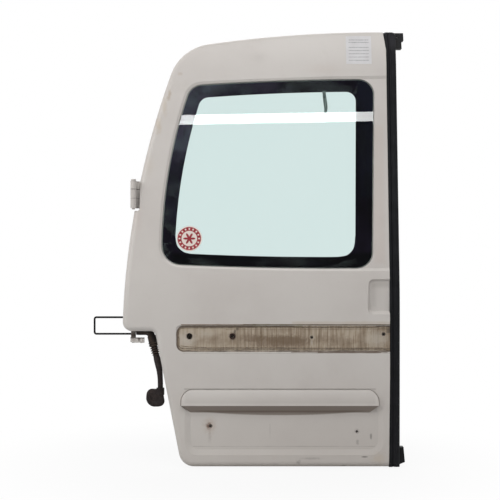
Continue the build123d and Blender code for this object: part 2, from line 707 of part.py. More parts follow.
grommet += upright(grommet_x, BOOT_Y, BOOT_R + 1.5, end_z - 18, end_z)
save(grommet, "harness_pillar_grommet")
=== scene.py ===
# %% [markdown]
# # Rear barn door of a small camper van
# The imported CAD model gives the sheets, glass, seal and hinges in their true places.
# This lesson dresses it: a camera, plain studio light, aged paint, glass, rubber, and
# the thin things that a CAD model leaves out, such as glue residue, bolts and welds.

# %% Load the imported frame
import math

import bmesh
import bpy
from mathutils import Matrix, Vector


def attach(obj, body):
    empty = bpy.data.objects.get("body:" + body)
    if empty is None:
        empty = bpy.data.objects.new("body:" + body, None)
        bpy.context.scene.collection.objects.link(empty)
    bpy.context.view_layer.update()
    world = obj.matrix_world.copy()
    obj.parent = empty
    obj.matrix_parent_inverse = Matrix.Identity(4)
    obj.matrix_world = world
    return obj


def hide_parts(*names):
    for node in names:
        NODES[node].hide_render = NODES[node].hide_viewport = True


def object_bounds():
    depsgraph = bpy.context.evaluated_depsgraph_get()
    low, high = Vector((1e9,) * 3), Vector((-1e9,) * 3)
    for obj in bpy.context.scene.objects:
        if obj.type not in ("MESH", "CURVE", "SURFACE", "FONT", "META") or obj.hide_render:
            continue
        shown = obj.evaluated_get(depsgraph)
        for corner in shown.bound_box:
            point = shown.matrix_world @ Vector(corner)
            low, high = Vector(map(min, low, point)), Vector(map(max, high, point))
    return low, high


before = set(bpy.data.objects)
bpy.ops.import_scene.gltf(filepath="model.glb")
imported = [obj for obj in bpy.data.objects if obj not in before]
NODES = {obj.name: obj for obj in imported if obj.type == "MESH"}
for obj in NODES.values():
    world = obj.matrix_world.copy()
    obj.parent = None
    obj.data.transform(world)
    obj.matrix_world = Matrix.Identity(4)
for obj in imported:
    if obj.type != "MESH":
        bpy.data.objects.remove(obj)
CAD_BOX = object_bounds()
SCENE = bpy.context.scene
SCENE.view_settings.view_transform = "Standard"
MM = 0.001
print("nodes:", len(NODES), "CAD box:", [tuple(round(v, 4) for v in c) for c in CAD_BOX])

# %% [markdown]
# ## The camera
# The photograph looks square at the lower half of the door from about three metres.
# At the door's lower front one pixel is 2.6 mm, so a frame of 500 pixels is 1.3 m wide
# there, and that fixes both the distance and the lens.

# %% Camera at the photograph's place
FRAME_WIDTH = 1.300
CAMERA_GAP = 3.000
SENSOR = 36.0
AIM = (0.314, -0.060, -0.148)
camera = bpy.data.objects.new("camera", bpy.data.cameras.new("camera"))
SCENE.collection.objects.link(camera)
camera.data.sensor_width = SENSOR
camera.data.lens = SENSOR * CAMERA_GAP / FRAME_WIDTH
camera.location = (AIM[0], AIM[1] - CAMERA_GAP, AIM[2])
camera.rotation_euler = (math.radians(90), 0, 0)
SCENE.camera = camera
print("lens", round(camera.data.lens, 2), "mm")

# %% [markdown]
# ## The door's side profile
# Thin things lie on the pressed sheet, so they need to know where the sheet is. From the
# side the door is a flat lower half, a soft bend at the waist, a straight lean up to the
# head and a rounder bend to the roof. Written as a rule, it serves every piece below.

# %% Where the sheet is at each height
RIGHT_X = 678.0
BOTTOM_Z, TOP_Z = -713.0, 440.0
FRONT_Y = -60.0
LEAN = math.radians(7.5)
WAIST_Z, WAIST_R = -317.0, 800.0
HEAD_Z, HEAD_R = 335.0, 420.0
RIM_DEPTH = 20.0
EDGE_ROUND = 15.0
WAIST_TOP = (FRONT_Y + WAIST_R * (1 - math.cos(LEAN)), WAIST_Z + WAIST_R * math.sin(LEAN))
HEAD_CENTRE = (
    WAIST_TOP[0] + (HEAD_Z - WAIST_TOP[1]) * math.tan(LEAN) + HEAD_R * math.cos(LEAN),
    HEAD_Z - HEAD_R * math.sin(LEAN),
)


def lean_y(z, depth):
    """The window's leaning plane, at a depth behind the sheet."""
    return WAIST_TOP[0] + (z - WAIST_TOP[1]) * math.tan(LEAN) + depth / math.cos(LEAN)


def sheet_y(z, depth=0.0):
    """The sheet's own place, at a depth behind its front."""
    if z <= WAIST_Z:
        return FRONT_Y + depth
    if z <= WAIST_TOP[1] - depth * math.sin(LEAN):
        return FRONT_Y + WAIST_R - math.sqrt((WAIST_R - depth) ** 2 - (z - WAIST_Z) ** 2)
    if z <= HEAD_Z - depth * math.sin(LEAN):
        return lean_y(z, depth)
    return HEAD_CENTRE[0] - math.sqrt((HEAD_R - depth) ** 2 - (z - HEAD_CENTRE[1]) ** 2)


def sheet_back(z):
    """Direction that points out of the sheet's inner side."""
    step = sheet_y(z + 1) - sheet_y(z - 1)
    return Vector((0, 2, -step)).normalized()


print("sheet at waist and head:", round(sheet_y(WAIST_Z), 1), round(sheet_y(HEAD_Z), 1), "mm")

# %% [markdown]
# ## Helpers for node graphs
# A material and a Geometry Nodes tree are both graphs. Writing each link by hand hides
# the idea, so a small class adds a node, fills its inputs by name, and hands back one
# output to feed the next node.

# %% A small graph builder


def srgb(red, green, blue):
    """Turns a screen colour, 0 to 255, into the linear colour that shaders use."""
    linear = []
    for value in (red, green, blue):
        c = value / 255
        linear.append(c / 12.92 if c <= 0.04045 else ((c + 0.055) / 1.055) ** 2.4)
    return (*linear, 1.0)


class Graph:
    """Adds nodes to one tree."""

    family = "ShaderNode"

    def __init__(self, tree):
        self.tree = tree

    def __getitem__(self, name):
        """One of the tree's own inputs."""
        return self.given[name]

    def add(self, kind, inputs=None, out=0, **settings):
        """One node; an input that is a socket is linked, any other value is set."""
        whole = kind.startswith(("ShaderNode", "FunctionNode"))
        node = self.tree.nodes.new(kind if whole else self.family + kind)
        for key, value in settings.items():
            setattr(node, key, value)
        self.fill(node, inputs or {})
        return node.outputs[out]

    def fill(self, node, inputs):
        """Sets or links a node's inputs."""
        for key, value in inputs.items():
            if isinstance(value, bpy.types.NodeSocket):
                self.tree.links.new(value, node.inputs[key])
            else:
                node.inputs[key].default_value = value

    def socket(self, name, way, kind):
        """One input or output of the tree."""
        return self.tree.interface.new_socket(name, in_out=way, socket_type="NodeSocket" + kind)

    def declare(self, inputs, output, kind):
        """Gives the tree its inputs, each a default or the name of a kind, and one output."""
        for name, value in inputs.items():
            if isinstance(value, str):
                self.socket(name, "INPUT", value)
            else:
                self.socket(name, "INPUT", type(value).__name__.title()).default_value = value
        self.socket(output, "OUTPUT", kind)
        self.given = self.tree.nodes.new("NodeGroupInput").outputs
        self.result = self.tree.nodes.new("NodeGroupOutput").inputs[0]

    def math(self, operation, a, b=0.0):
        """One sum on values."""
        return self.add("ShaderNodeMath", {0: a, 1: b}, operation=operation)

    def times(self, a, b):
        """Product of two values."""
        return self.math("MULTIPLY", a, b)

    def plus(self, a, b):
        """Sum of two values."""
        return self.math("ADD", a, b)

    def minus(self, a, b):
        """Difference of two values."""
        return self.math("SUBTRACT", a, b)

    def noise(self, vector, scale, detail=3.0, roughness=0.55):
        """Cloudy noise."""
        inputs = {"Vector": vector, "Scale": scale, "Detail": detail, "Roughness": roughness}
        return self.add("ShaderNodeTexNoise", inputs)


print("graph builder ready")

# %% Shader graphs


class Shader(Graph):
    """Adds shader nodes."""

    def mix(self, factor, a, b):
        """Mixes two colours."""
        return self.add("Mix", {0: factor, 6: a, 7: b}, out=2, data_type="RGBA")

    def tint(self, colour, mask, strength, other):
        """Lays another colour over a colour where a mask is, at some strength."""
        return self.mix(self.times(mask, strength), colour, other)

    def span(self, value, low, high, to_low=0.0, to_high=1.0):
        """Maps a value smoothly from one range to another."""
        ends = {"From Min": low, "From Max": high, "To Min": to_low, "To Max": to_high}
        return self.add("MapRange", {"Value": value} | ends, interpolation_type="SMOOTHSTEP")

    def axes(self, vector):
        """Splits a vector into its three outputs."""
        node = self.tree.nodes.new("ShaderNodeSeparateXYZ")
        self.tree.links.new(vector, node.inputs[0])
        return node.outputs

    def seen(self):
        """1 for a ray from the camera, straight or through glass."""
        straight = self.add("LightPath", out="Is Camera Ray")
        through = self.add("LightPath", out="Is Transmission Ray")
        return self.math("MAXIMUM", straight, through)


class Effect(Shader):
    """A shader node group with named inputs and one mask."""

    def __init__(self, name, inputs):
        super().__init__(bpy.data.node_groups.new(name, "ShaderNodeTree"))
        self.declare({"Vector": "Vector"} | inputs, "Mask", "Float")

    def finish(self, socket):
        """Sends the mask out of the group."""
        self.tree.links.new(socket, self.result)
        return self.tree


print("shader graphs ready")

# %% Materials


class Finish(Shader):
    """A material with one Principled shader."""

    def __init__(self, name, **plain):
        self.material = bpy.data.materials.new(name)
        self.material.use_nodes = True
        super().__init__(self.material.node_tree)
        self.shader = self.tree.nodes["Principled BSDF"]
        self.place = self.add("TexCoord", out=3)
        for key, value in plain.items():
            self.shader.inputs[key.replace("_", " ")].default_value = value

    def feed(self, socket, value):
        """Links a value to the shader."""
        self.tree.links.new(value, self.shader.inputs[socket])

    def relief(self, height, distance, strength=1.0):
        """Turns a height into a normal."""
        bump = self.add("Bump", {"Height": height, "Distance": distance, "Strength": strength})
        self.feed("Normal", bump)

    def lay(self, effect, *values):
        """Mask of an effect at the material's own place; the values follow the effect's inputs."""
        node = self.tree.nodes.new("ShaderNodeGroup")
        node.node_tree = effect
        self.fill(node, dict(enumerate((self.place, *values))))
        return node.outputs[0]

    def stretch(self, scale, shift=(0, 0, 0)):
        """The material's place, scaled differently along each axis, then shifted."""
        return self.add("Mapping", {"Vector": self.place, "Scale": scale, "Location": shift})

    def drawn(self, across, up, detail, roughness=0.55):
        """Noise with its own number of waves a metre across and up."""
        return self.noise(self.stretch((across, 1, up)), 1.0, detail, roughness)


print("materials ready")

# %% [markdown]
# ## Effects that several finishes share
# Dirt on a used door comes in three kinds: an even film broken up by noise, round stains
# at known places, and marks along a straight edge or strip. Each is a node group, so
# paint, rubber and plastic use the same recipes with their own numbers.

# %% Round stain at a place
stain = Effect(
    "round_stain",
    {
        "Centre X": 0.0, "Centre Z": 0.0, "Half Width": 0.01, "Half Height": 0.01,
        "Ragged": 0.4, "Fade": 0.6,
    },
)
spot_x, _, spot_z = stain.axes(stain["Vector"])
across = stain.math("DIVIDE", stain.minus(spot_x, stain["Centre X"]), stain["Half Width"])
upward = stain.math("DIVIDE", stain.minus(spot_z, stain["Centre Z"]), stain["Half Height"])
reach = stain.math("SQRT", stain.plus(stain.times(across, across), stain.times(upward, upward)))
cloud = stain.minus(stain.noise(stain["Vector"], 160.0, 4.0, 0.6), 0.5)
reach = stain.plus(reach, stain.times(cloud, stain["Ragged"]))
STAIN = stain.finish(stain.span(reach, 1.0, stain.minus(1.0, stain["Fade"])))
print("effect:", STAIN.name)

# %% Straight mark between four edges
strip = Effect(
    "straight_mark",
    {
        "Left": 0.0, "Right": 1.0, "Low": 0.0, "High": 1.0,
        "Soft": 0.002, "Ragged": 0.004, "Grain": 120.0, "Corner": 0.0,
    },
)
strip_x, _, strip_z = strip.axes(strip["Vector"])
short = []
square = []
for at, start, end in ((strip_x, "Left", "Right"), (strip_z, "Low", "High")):
    inside = strip.math("MINIMUM", strip.minus(at, strip[start]), strip.minus(strip[end], at))
    short.append(strip.minus(strip["Corner"], inside))
    square.append(strip.math("POWER", strip.math("MAXIMUM", short[-1], 0.0), 2.0))
outside = strip.math("SQRT", strip.plus(*square))
outside = strip.plus(outside, strip.math("MINIMUM", strip.math("MAXIMUM", *short), 0.0))
inside = strip.minus(strip["Corner"], outside)
cloud = strip.minus(strip.noise(strip["Vector"], strip["Grain"], 3.0, 0.6), 0.5)
inside = strip.plus(inside, strip.times(cloud, strip["Ragged"]))
STRIP = strip.finish(strip.span(inside, 0.0, strip["Soft"]))
print("effect:", STRIP.name)

# %% Film of grime
grime = Effect("grime_film", {"Scale": 6.0, "Cover": 0.5})
broad = grime.noise(grime["Vector"], grime["Scale"], 5.0, 0.62)
fine = grime.noise(grime["Vector"], grime.times(grime["Scale"], 11.0), 3.0, 0.6)
heap = grime.plus(grime.times(broad, 0.75), grime.times(fine, 0.25))
edge = grime.minus(0.85, grime.times(grime["Cover"], 0.7))
GRIME = grime.finish(grime.span(heap, edge, grime.plus(edge, 0.22)))
print("effect:", GRIME.name)

# %% [markdown]
# ## Body paint
# The door is an off-white van panel that has aged: warm grey paint, faint clouding,
# brown blotches along the upper left edge, rust round the plate hole and scuffs along
# the sill. All the marks sit at fixed places of the door, so they read Object
# coordinates, which are the door's own metres. A list of marks is easier to read and to
# correct than a hand-wired graph, so a few small functions lay such lists over a finish.

# %% Colours
PAINT = srgb(204, 199, 194)
PAINT_SHADE = srgb(197, 191, 186)
BEIGE = srgb(164, 143, 116)
TAN = srgb(188, 172, 150)
PINKISH = srgb(190, 166, 154)
RUST = srgb(92, 58, 38)
BURNT = srgb(40, 28, 20)
SOOT = srgb(66, 60, 54)
UMBER = srgb(80, 66, 52)
DUST = srgb(140, 126, 108)
GREASE_AND_SHADE = srgb(62, 50, 43)
MOSS = srgb(104, 100, 66)
UNDERSIDE_SHADE_AND_DIRT = srgb(112, 98, 87)
LOWER_TONE = srgb(150, 136, 120)
print("paint:", [round(c, 3) for c in PAINT[:3]])

# %% Marks on a finish


def round_mark(finish, x, z, half_w, half_h, ragged, fade):
    """Mask of one round mark, its place and half size in mm."""
    return finish.lay(STAIN, x * MM, z * MM, half_w * MM, half_h * MM, ragged, fade)


def round_marks(finish, colour, marks):
    """Lays round marks: place and half size in mm, strength, raggedness, fade, colour."""
    for x, z, half_w, half_h, strength, ragged, fade, tint in marks:
        mask = round_mark(finish, x, z, half_w, half_h, ragged, fade)
        colour = finish.tint(colour, mask, strength, tint)
    return colour


def straight_mark(finish, left, right, low, high, soft, ragged, grain, corner=0.0):
    """Mask of one straight mark, its edges, softness, raggedness and corner radius in mm."""
    lengths = [v * MM for v in (left, right, low, high, soft, ragged)]
    return finish.lay(STRIP, *lengths, grain, corner * MM)


def straight_marks(finish, colour, marks):
    """Lays straight marks: edges, softness and raggedness in mm, grain, strength, colour."""
    for *shape, strength, tint in marks:
        colour = finish.tint(colour, straight_mark(finish, *shape), strength, tint)
    return colour


print("mark helpers ready")

# %% [markdown]
# ## Residue where the trim strip was
# The recess across the middle of the door has lost its trim. Old adhesive is left there:
# a beige film with fine upright streaks, a browner bloom in the middle, a dark line of
# dirt where the trim's edge sat, wiped away along one stretch, and clean patches round
# the fixing holes. It is thinner than the paint, so it is colour, with real beads of glue
# on top.

# %% Marks in the strip recess
RESIDUE = srgb(178, 164, 145)
RESIDUE_DARK = srgb(136, 116, 91)
BLOOM = srgb(99, 76, 50)
RESIDUE_STAINS = [
    (395, -385, 118, 22, 0.62, 0.9, 0.6, BLOOM),
    (412, -383, 62, 15, 0.55, 1.1, 0.6, BLOOM),
    (318, -377, 46, 13, 0.5, 1.2, 0.7, BLOOM),
    (225, -386, 40, 18, 0.34, 1.2, 0.8, BLOOM),
    (392, -359, 62, 9, 0.26, 1.2, 0.8, BLOOM),
    (545, -386, 50, 20, 0.42, 1.2, 0.7, BLOOM),
    (148, -381, 40, 30, 0.6, 0.8, 0.9, srgb(190, 182, 171)),
    (200, -366, 34, 14, 0.45, 1, 0.9, srgb(186, 177, 163)),
    (645, -378, 46, 32, 0.6, 0.8, 0.9, srgb(186, 177, 164)),
    (474.7, -389, 4.6, 13, 0.5, 0.7, 0.8, srgb(190, 181, 168)),
    (661.6, -367, 6, 6, 0.95, 0.3, 0.35, BURNT),
    (474.7, -375, 9, 9, 0.45, 0.5, 0.5, srgb(176, 166, 150)),
    (268.5, -372.5, 13, 13, 0.55, 0.6, 0.5, UMBER),
    (275, -361, 4.5, 8, 0.7, 0.9, 0.6, UMBER),
    (281, -353, 5.5, 6, 0.7, 0.9, 0.6, UMBER),
    (156.4, -372.5, 11, 11, 0.55, 0.5, 0.4, UMBER),
]
RESIDUE_LINES = [
    (122, 330, -352, -343.5, 2.5, 4, 60, 0.75, UMBER),
    (300, 430, -348.5, -343.5, 1.6, 3, 70, 0.62, UMBER),
    (424, 646, -350.6, -347.6, 1, 2, 50, 0.66, UMBER),
    (640, 690, -348.5, -343.5, 1.6, 3, 70, 0.62, UMBER),
    (318, 452, -350, -343, 2, 4, 60, 0.5, MOSS),
    (119.5, 132, -402, -352, 3, 5, 60, 0.7, srgb(100, 78, 55)),
    (132, 690, -406, -403.2, 1.2, 2.2, 60, 0.66, UMBER),
    (240, 668, -410.4, -407.4, 1.2, 1.8, 40, 0.55, srgb(196, 187, 174)),
    (250, 690, -357, -353, 2, 4.5, 40, 0.45, BLOOM),
    (668, 681, -365, -345, 2, 4, 60, 0.55, SOOT),
]
FILM = (121.5, 720, -414, -343.5, 2.0, 2.0, 90.0, 20.0)
FILM_WITHIN = (125.0, 720, -411.0, -347.0, 2.6, 5.0, 40.0, 18.0)
WIPED = (424, 646, -347.8, -338, 1.2, 1.2, 50.0)
THREADS = (330, 15, 3.0, 0.6)
COMBS = (110, 9, 2.0, 0.5)
PATCHES = (22, 30, 3.0, 0.6)
STREAKED_FROM, STREAKED_TO = 0.15, 0.36
FILM_COVER = 0.94
print("residue marks:", len(RESIDUE_STAINS) + len(RESIDUE_LINES))

# %% Adhesive residue


def residue(finish, colour):
    """Film, streaks, bloom, lines and dark rim of old adhesive."""
    film = straight_mark(finish, *FILM)
    patches = finish.drawn(*PATCHES)
    streaked = finish.span(finish.axes(finish.place)[0], STREAKED_FROM, STREAKED_TO, 0.40, 1.0)
    streaks = finish.times(finish.span(finish.drawn(*THREADS), 0.40, 0.62), streaked)
    streaks = finish.times(streaks, finish.span(patches, 0.25, 0.60, 0.35, 1.0))
    tone = finish.mix(streaks, RESIDUE, RESIDUE_DARK)
    heavy = finish.times(finish.span(finish.drawn(*COMBS), 0.47, 0.66), streaked)
    tone = finish.tint(tone, heavy, 0.50, BLOOM)
    tone = finish.tint(tone, finish.span(patches, 0.45, 0.72), 0.35, BLOOM)
    tone = round_marks(finish, tone, RESIDUE_STAINS)
    tone = straight_marks(finish, tone, RESIDUE_LINES)
    rim = finish.minus(film, straight_mark(finish, *FILM_WITHIN))
    rim = finish.minus(rim, straight_mark(finish, *WIPED))
    rim = finish.math("MAXIMUM", rim, 0.0)
    rim = finish.times(rim, finish.span(patches, 0.30, 0.55, 0.45, 0.95))
    tone = finish.mix(rim, tone, UMBER)
    return finish.tint(colour, film, FILM_COVER, tone)


print("residue ready")

# %% [markdown]
# ## Three paints from one recipe
# The skin, the inner side and the hinges are painted alike, each with its own marks and
# its own share of grime. Only the skin carries the residue and the dirt and painted shade
# under its rib.

# %% Marks on the panel
PANEL_STAINS = [
    (100, 269, 7, 14, 0.5, 1.4, 0.9, BEIGE),
    (97, 256, 9, 10, 0.42, 1.6, 0.9, BEIGE),
    (128, 322, 10, 7, 0.3, 1.4, 0.9, BEIGE),
    (87, 235, 10, 42, 0.38, 1.5, 0.9, TAN),
    (71, 182, 12, 34, 0.5, 1.5, 0.9, TAN),
    (47, 73, 22, 46, 0.18, 1, 1, TAN),
    (18, -68, 20, 60, 0.16, 1, 1, PINKISH),
    (338, 366, 30, 20, 0.06, 1.2, 1, SOOT),
    (508, 336, 70, 22, 0.12, 1, 1, PINKISH),
    (209, -605, 24, 30, 0.34, 0.9, 1, srgb(150, 116, 86)),
    (207, -606, 10, 11, 0.75, 1.1, 0.8, RUST),
    (212, -606, 5.5, 5.5, 0.9, 0.6, 0.5, BURNT),
    (209, -634, 7, 26, 0.22, 1.3, 1, srgb(120, 104, 90)),
    (592, -620, 8, 8, 0.45, 0.8, 0.8, SOOT),
    (629, -633, 4, 12, 0.5, 1, 0.7, SOOT),
    (594, -648, 6, 10, 0.3, 1.4, 0.8, SOOT),
    (612, -686, 12, 2.2, 0.7, 1.2, 0.7, SOOT),
    (440, -700, 9, 8, 0.4, 1.4, 0.9, SOOT),
    (470, -690, 40, 4, 0.22, 1.4, 0.9, SOOT),
    (558, -711, 8, 4, 0.55, 1.2, 0.8, SOOT),
    (366, -616, 3, 30, 0.12, 1.6, 1, SOOT),
    (648, -690, 28, 22, 0.38, 1.4, 1, TAN),
]
PANEL_LINES = [
    # The first line is painted shade in the crease along the rib's top edge.
    (142, 642, -511, -508, 1.2, 1, 60, 0.45, UMBER),
    (165, 640, -661, -658, 1.6, 2.6, 24, 0.26, UMBER),
    (165, 640, -684, -682, 1.4, 2, 30, 0.16, UMBER),
    (134, 330, -344.2, -340.6, 0.7, 1.4, 60, 0.8, srgb(106, 84, 58)),
    (140, 690, -418, -414.5, 2, 2.4, 60, 0.3, UMBER),
    (420, 672, -416, -412.4, 0.8, 1.6, 34, 0.5, srgb(88, 68, 48)),
    (490, 656, -416.4, -412.8, 0.8, 1.8, 34, 0.7, srgb(84, 64, 44)),
    (420, 690, -344, -331, 7, 7, 24, 0.42, TAN),
    # The next two lines are painted shade on the top and left of the finger recess.
    (626, 690, -252, -226, 12, 4, 24, 0.22, srgb(120, 116, 104)),
    (626, 648, -300, -232, 10, 4, 24, 0.12, srgb(120, 116, 108)),
    (296, 700, -343.6, -340.4, 0.6, 1.4, 30, 0.85, srgb(90, 72, 48)),
    (318, 452, -344, -340, 1.6, 3, 60, 0.4, MOSS),
    (142, 642, -549, -506, 7, 3, 24, 0.12, srgb(120, 114, 108)),
    (632, 674, -190, 190, 14, 6, 12, 0.16, PINKISH),
    (136, 660, -715, -704, 5, 6, 30, 0.22, DUST),
]
RIB_LEDGE = (120, 664, -582, -546, 2.0, 1.0, 40.0)
RIB_SHADOW_AND_DIRT_CURVE = (393, -560, 248, 19.5, 0.05, 0.16)
RIB_FOOT_TOP, RIB_FOOT_LOW = -0.5640, -0.5665
LOWER_TONE_TOP, LOWER_TONE_LOW = -0.36, -0.74
print("panel marks:", len(PANEL_STAINS) + len(PANEL_LINES))

# %% Aged paint


def rib_shade(finish, colour, height):
    """Painted shade with dirt on the rib's underside, and a painted shadow with dirt in the curve
    below it.
    """
    _, facing_y, facing_z = finish.axes(finish.add("TexCoord", out="Normal"))
    # Painted shade: the rib's underside turns darker where it faces down, with some dirt.
    under = finish.times(finish.span(facing_z, -0.20, -0.45), straight_mark(finish, *RIB_LEDGE))
    colour = finish.tint(colour, under, 0.82, UNDERSIDE_SHADE_AND_DIRT)
    # Painted cast shadow, with dirt, in a long curve on the panel below the rib.
    curve = round_mark(finish, *RIB_SHADOW_AND_DIRT_CURVE)
    curve = finish.times(curve, finish.span(height, RIB_FOOT_TOP, RIB_FOOT_LOW))
    curve = finish.times(curve, finish.span(facing_y, 0.1, -0.1))
    return finish.tint(colour, curve, 0.78, UNDERSIDE_SHADE_AND_DIRT)


def paint(name, stains, lines, cover, dull, marked=False):
    """Aged body paint with grime, darker lower down; marked paint adds painted shade under the
    rib.
    """
    finish = Finish(name)
    cloud = finish.noise(finish.place, 3.2, 4.0, 0.6)
    colour = finish.mix(finish.span(cloud, 0.35, 0.7), PAINT, PAINT_SHADE)
    film = finish.lay(GRIME, 9.0, cover)
    colour = finish.tint(colour, film, 0.08 + dull * 0.2, DUST)
    height = finish.axes(finish.place)[2]
    # The paint turns darker and warmer towards the bottom.
    low = finish.span(height, LOWER_TONE_TOP, LOWER_TONE_LOW)
    colour = finish.tint(colour, low, 0.14, LOWER_TONE)
    specks = finish.span(finish.noise(finish.place, 420.0, 1.0, 0.5), 0.74, 0.80)
    colour = finish.tint(colour, specks, 0.25, SOOT)
    if marked:
        colour = rib_shade(finish, residue(finish, colour), height)
    colour = straight_marks(finish, colour, lines)
    finish.feed("Base Color", round_marks(finish, colour, stains))
    finish.feed("Roughness", finish.span(film, 0.0, 1.0, 0.38 + dull * 0.1, 0.56 + dull * 0.1))
    finish.relief(finish.noise(finish.place, 900.0, 1.0), 0.00004, 0.5)
    return finish.material


print("paint recipe ready")

# %% Paint of the skin, the inner side and the hinges
BODY_PAINT = paint("body_paint", PANEL_STAINS, PANEL_LINES, 0.45, 0.0, marked=True)
INNER_PAINT = paint(
    "inner_paint",
    [
        (200, -668, 18, 24, 0.25, 1.2, 1, RUST),
        (400, -670, 16, 22, 0.2, 1.2, 1, RUST),
        (618, -672, 20, 26, 0.25, 1.2, 1, RUST),
        (280, -600, 110, 16, 0.22, 1.4, 1, UMBER),
        (520, -600, 90, 16, 0.22, 1.4, 1, UMBER),
        (590, -342, 40, 14, 0.3, 1.4, 1, UMBER),
    ],
    [(120, 670, -712, -690, 8, 14, 24, 0.35, UMBER)],
    0.62,
    0.6,
)
HINGE_PAINT = paint(
    "hinge_paint",
    [
        # The first mark is painted shade in the slot beside the upper hinge's barrel.
        (19, 34, 4, 6, 0.6, 0.8, 0.8, SOOT),
        (8, -384, 8, 4, 0.35, 1.2, 0.9, RUST),
        # Grease and painted shade on the tops of the lower hinge's bolt and strap.
        (24, -381, 6, 9, 0.7, 1, 0.8, GREASE_AND_SHADE),
        (4, -372, 12, 9, 0.85, 0.9, 0.7, GREASE_AND_SHADE),
    ],
    [
        (-10, 30, 10.7, 13.1, 0.8, 0.6, 90, 0.85, SOOT),
        (-10, 30, -13.1, -11.2, 0.8, 0.6, 90, 0.7, SOOT),
        (-10, 30, 32.2, 34, 0.8, 0.6, 90, 0.55, SOOT),
        # Grease and painted shade along the top of the lower strap and the bolt.
        (-4, 40, -381, -375, 2, 4, 60, 0.7, GREASE_AND_SHADE),
        (-4, 22, -378, -358, 4, 5, 60, 0.8, GREASE_AND_SHADE),
    ],
    0.40,
    0.1,
)
print("paints:", [m.name for m in (BODY_PAINT, INNER_PAINT, HINGE_PAINT)])

# %% [markdown]
# ## Glass, enamel, rubber and plastic
# The pane is 4 mm tempered glass, faintly green. A Principled pane takes its colour over
# the whole way through, so the tint is written as the colour seen through it. The black
# border is fired on the inside of the pane: it has no gloss of its own, because the glass
# in front of it gives the gloss. Its tone drifts from side to side, and it is paler at
# the upper left and along the top. Rubber and plastic share one recipe.

# %% Glass and its enamel
glass = Finish("window_glass", Roughness=0.0, IOR=1.45, Transmission_Weight=1.0)
drift = glass.noise(glass.place, 2.0, 2.0)
glass.feed("Base Color", glass.mix(drift, (0.660, 0.800, 0.785, 1.0), (0.690, 0.815, 0.800, 1.0)))
GLASS = glass.material

enamel = Finish("black_border", Roughness=0.60, Specular_IOR_Level=0.0)
cloud = enamel.noise(enamel.place, 40.0)
colour = enamel.mix(cloud, srgb(24, 18, 30), srgb(33, 26, 41))
BORDER_PALE = srgb(140, 126, 150)
ENAMEL_LINES = [
    (-60, 190, -110, 320, 60, 12, 10, 1, srgb(47, 42, 56)),
    (592, 680, -20, 320, 20, 16, 14, 1, srgb(33, 32, 47)),
    (104, 640, -230, -150, 14, 10, 14, 0.85, srgb(8, 10, 13)),
    # The last two lines make the border paler at the upper left and along the top.
    (20, 260, 60, 360, 90, 120, 28, 0.32, BORDER_PALE),
    (170, 430, 240, 380, 60, 60, 28, 0.17, BORDER_PALE),
]
enamel.feed("Base Color", straight_marks(enamel, colour, ENAMEL_LINES))
ENAMEL = enamel.material
print("glass and enamel ready")

# %% Recipe for rubber and plastic
RIB_RELIEF = 1.5


def black_finish(
    name, dark, dusty, cover, rough, grain, depth, lines=(), stains=(), ribs=0.0, gloss=0.22
):
    """Dark rubber or plastic: dust in its texture, dust and painted highlight on its pleats, and
    ribs.
    """
    finish = Finish(name, Specular_IOR_Level=gloss)
    film = finish.lay(GRIME, 14.0, cover)
    cloud = finish.noise(finish.place, 30.0, 4.0)
    light = tuple(c * 1.5 for c in dark[:3]) + (1.0,)
    colour = finish.mix(finish.span(cloud, 0.3, 0.7), dark, light)
    colour = finish.tint(colour, film, 0.5, dusty)
    # Dust and a painted highlight on the pleat crests, read from the ridge attribute.
    ridge = finish.add("Attribute", out="Fac", attribute_name="ridge", attribute_type="GEOMETRY")
    colour = finish.tint(colour, ridge, 0.75, dusty)
    colour = straight_marks(finish, colour, lines)
    finish.feed("Base Color", round_marks(finish, colour, stains))
    finish.feed("Roughness", finish.span(film, 0.0, 1.0, rough, min(rough + 0.3, 0.95)))
    height = finish.noise(finish.place, grain, 2.0)
    if ribs:
        turn = finish.times(finish.axes(finish.place)[0], 2 * math.pi / ribs)
        height = finish.plus(height, finish.times(finish.math("SINE", turn), RIB_RELIEF))
    finish.relief(height, depth, 0.6)
    return finish.material


print("recipe ready")

# %% Rubber, plastic and wire
SEAL_RIBS = 0.0021
SEAL_LINES = [
    (RIGHT_X + 9, RIGHT_X + 14, BOTTOM_Z, TOP_Z, 2.0, 2.0, 30.0, 0.55, srgb(48, 47, 50)),
    # The second line pales the seal's top end: dust with a painted highlight.
    (RIGHT_X - 10, RIGHT_X + 60, TOP_Z - 60, TOP_Z + 5, 30.0, 8.0, 30.0, 0.60, srgb(50, 49, 54)),
]
BOOT_STAINS = [
    (50, -378, 10, 15, 0.5, 1, 0.8, srgb(88, 70, 56)),
    (57, -392, 9, 14, 0.4, 1.2, 0.9, srgb(82, 66, 52)),
    (36, -366, 20, 6, 0.4, 1.2, 0.9, srgb(92, 76, 62)),
]
SEAL_RUBBER = black_finish(
    "seal_rubber", srgb(21, 22, 25), srgb(50, 48, 50), 0.38, 0.50, 700.0, 0.0002,
    lines=SEAL_LINES, ribs=SEAL_RIBS,
)
BOOT_RUBBER = black_finish(
    "boot_rubber", srgb(36, 29, 29), srgb(100, 85, 74), 0.52, 0.55, 500.0, 0.0002,
    stains=BOOT_STAINS, gloss=0.30,
)
BLACK_PLASTIC = black_finish(
    "black_plastic", srgb(24, 24, 26), srgb(62, 58, 55), 0.42, 0.52, 800.0, 0.0001
)
BROWN_PLASTIC = black_finish(
    "brown_plastic", srgb(52, 36, 32), srgb(104, 84, 72), 0.5, 0.6, 800.0, 0.0001
)
BLACK_WIRE = black_finish(
    "black_wire", srgb(14, 14, 15), srgb(36, 32, 29), 0.20, 0.70, 900.0, 0.00005, gloss=0.0
)
ADHESIVE = black_finish("adhesive", srgb(16, 16, 16), srgb(40, 38, 36), 0.30, 0.60, 300.0, 0.0003)
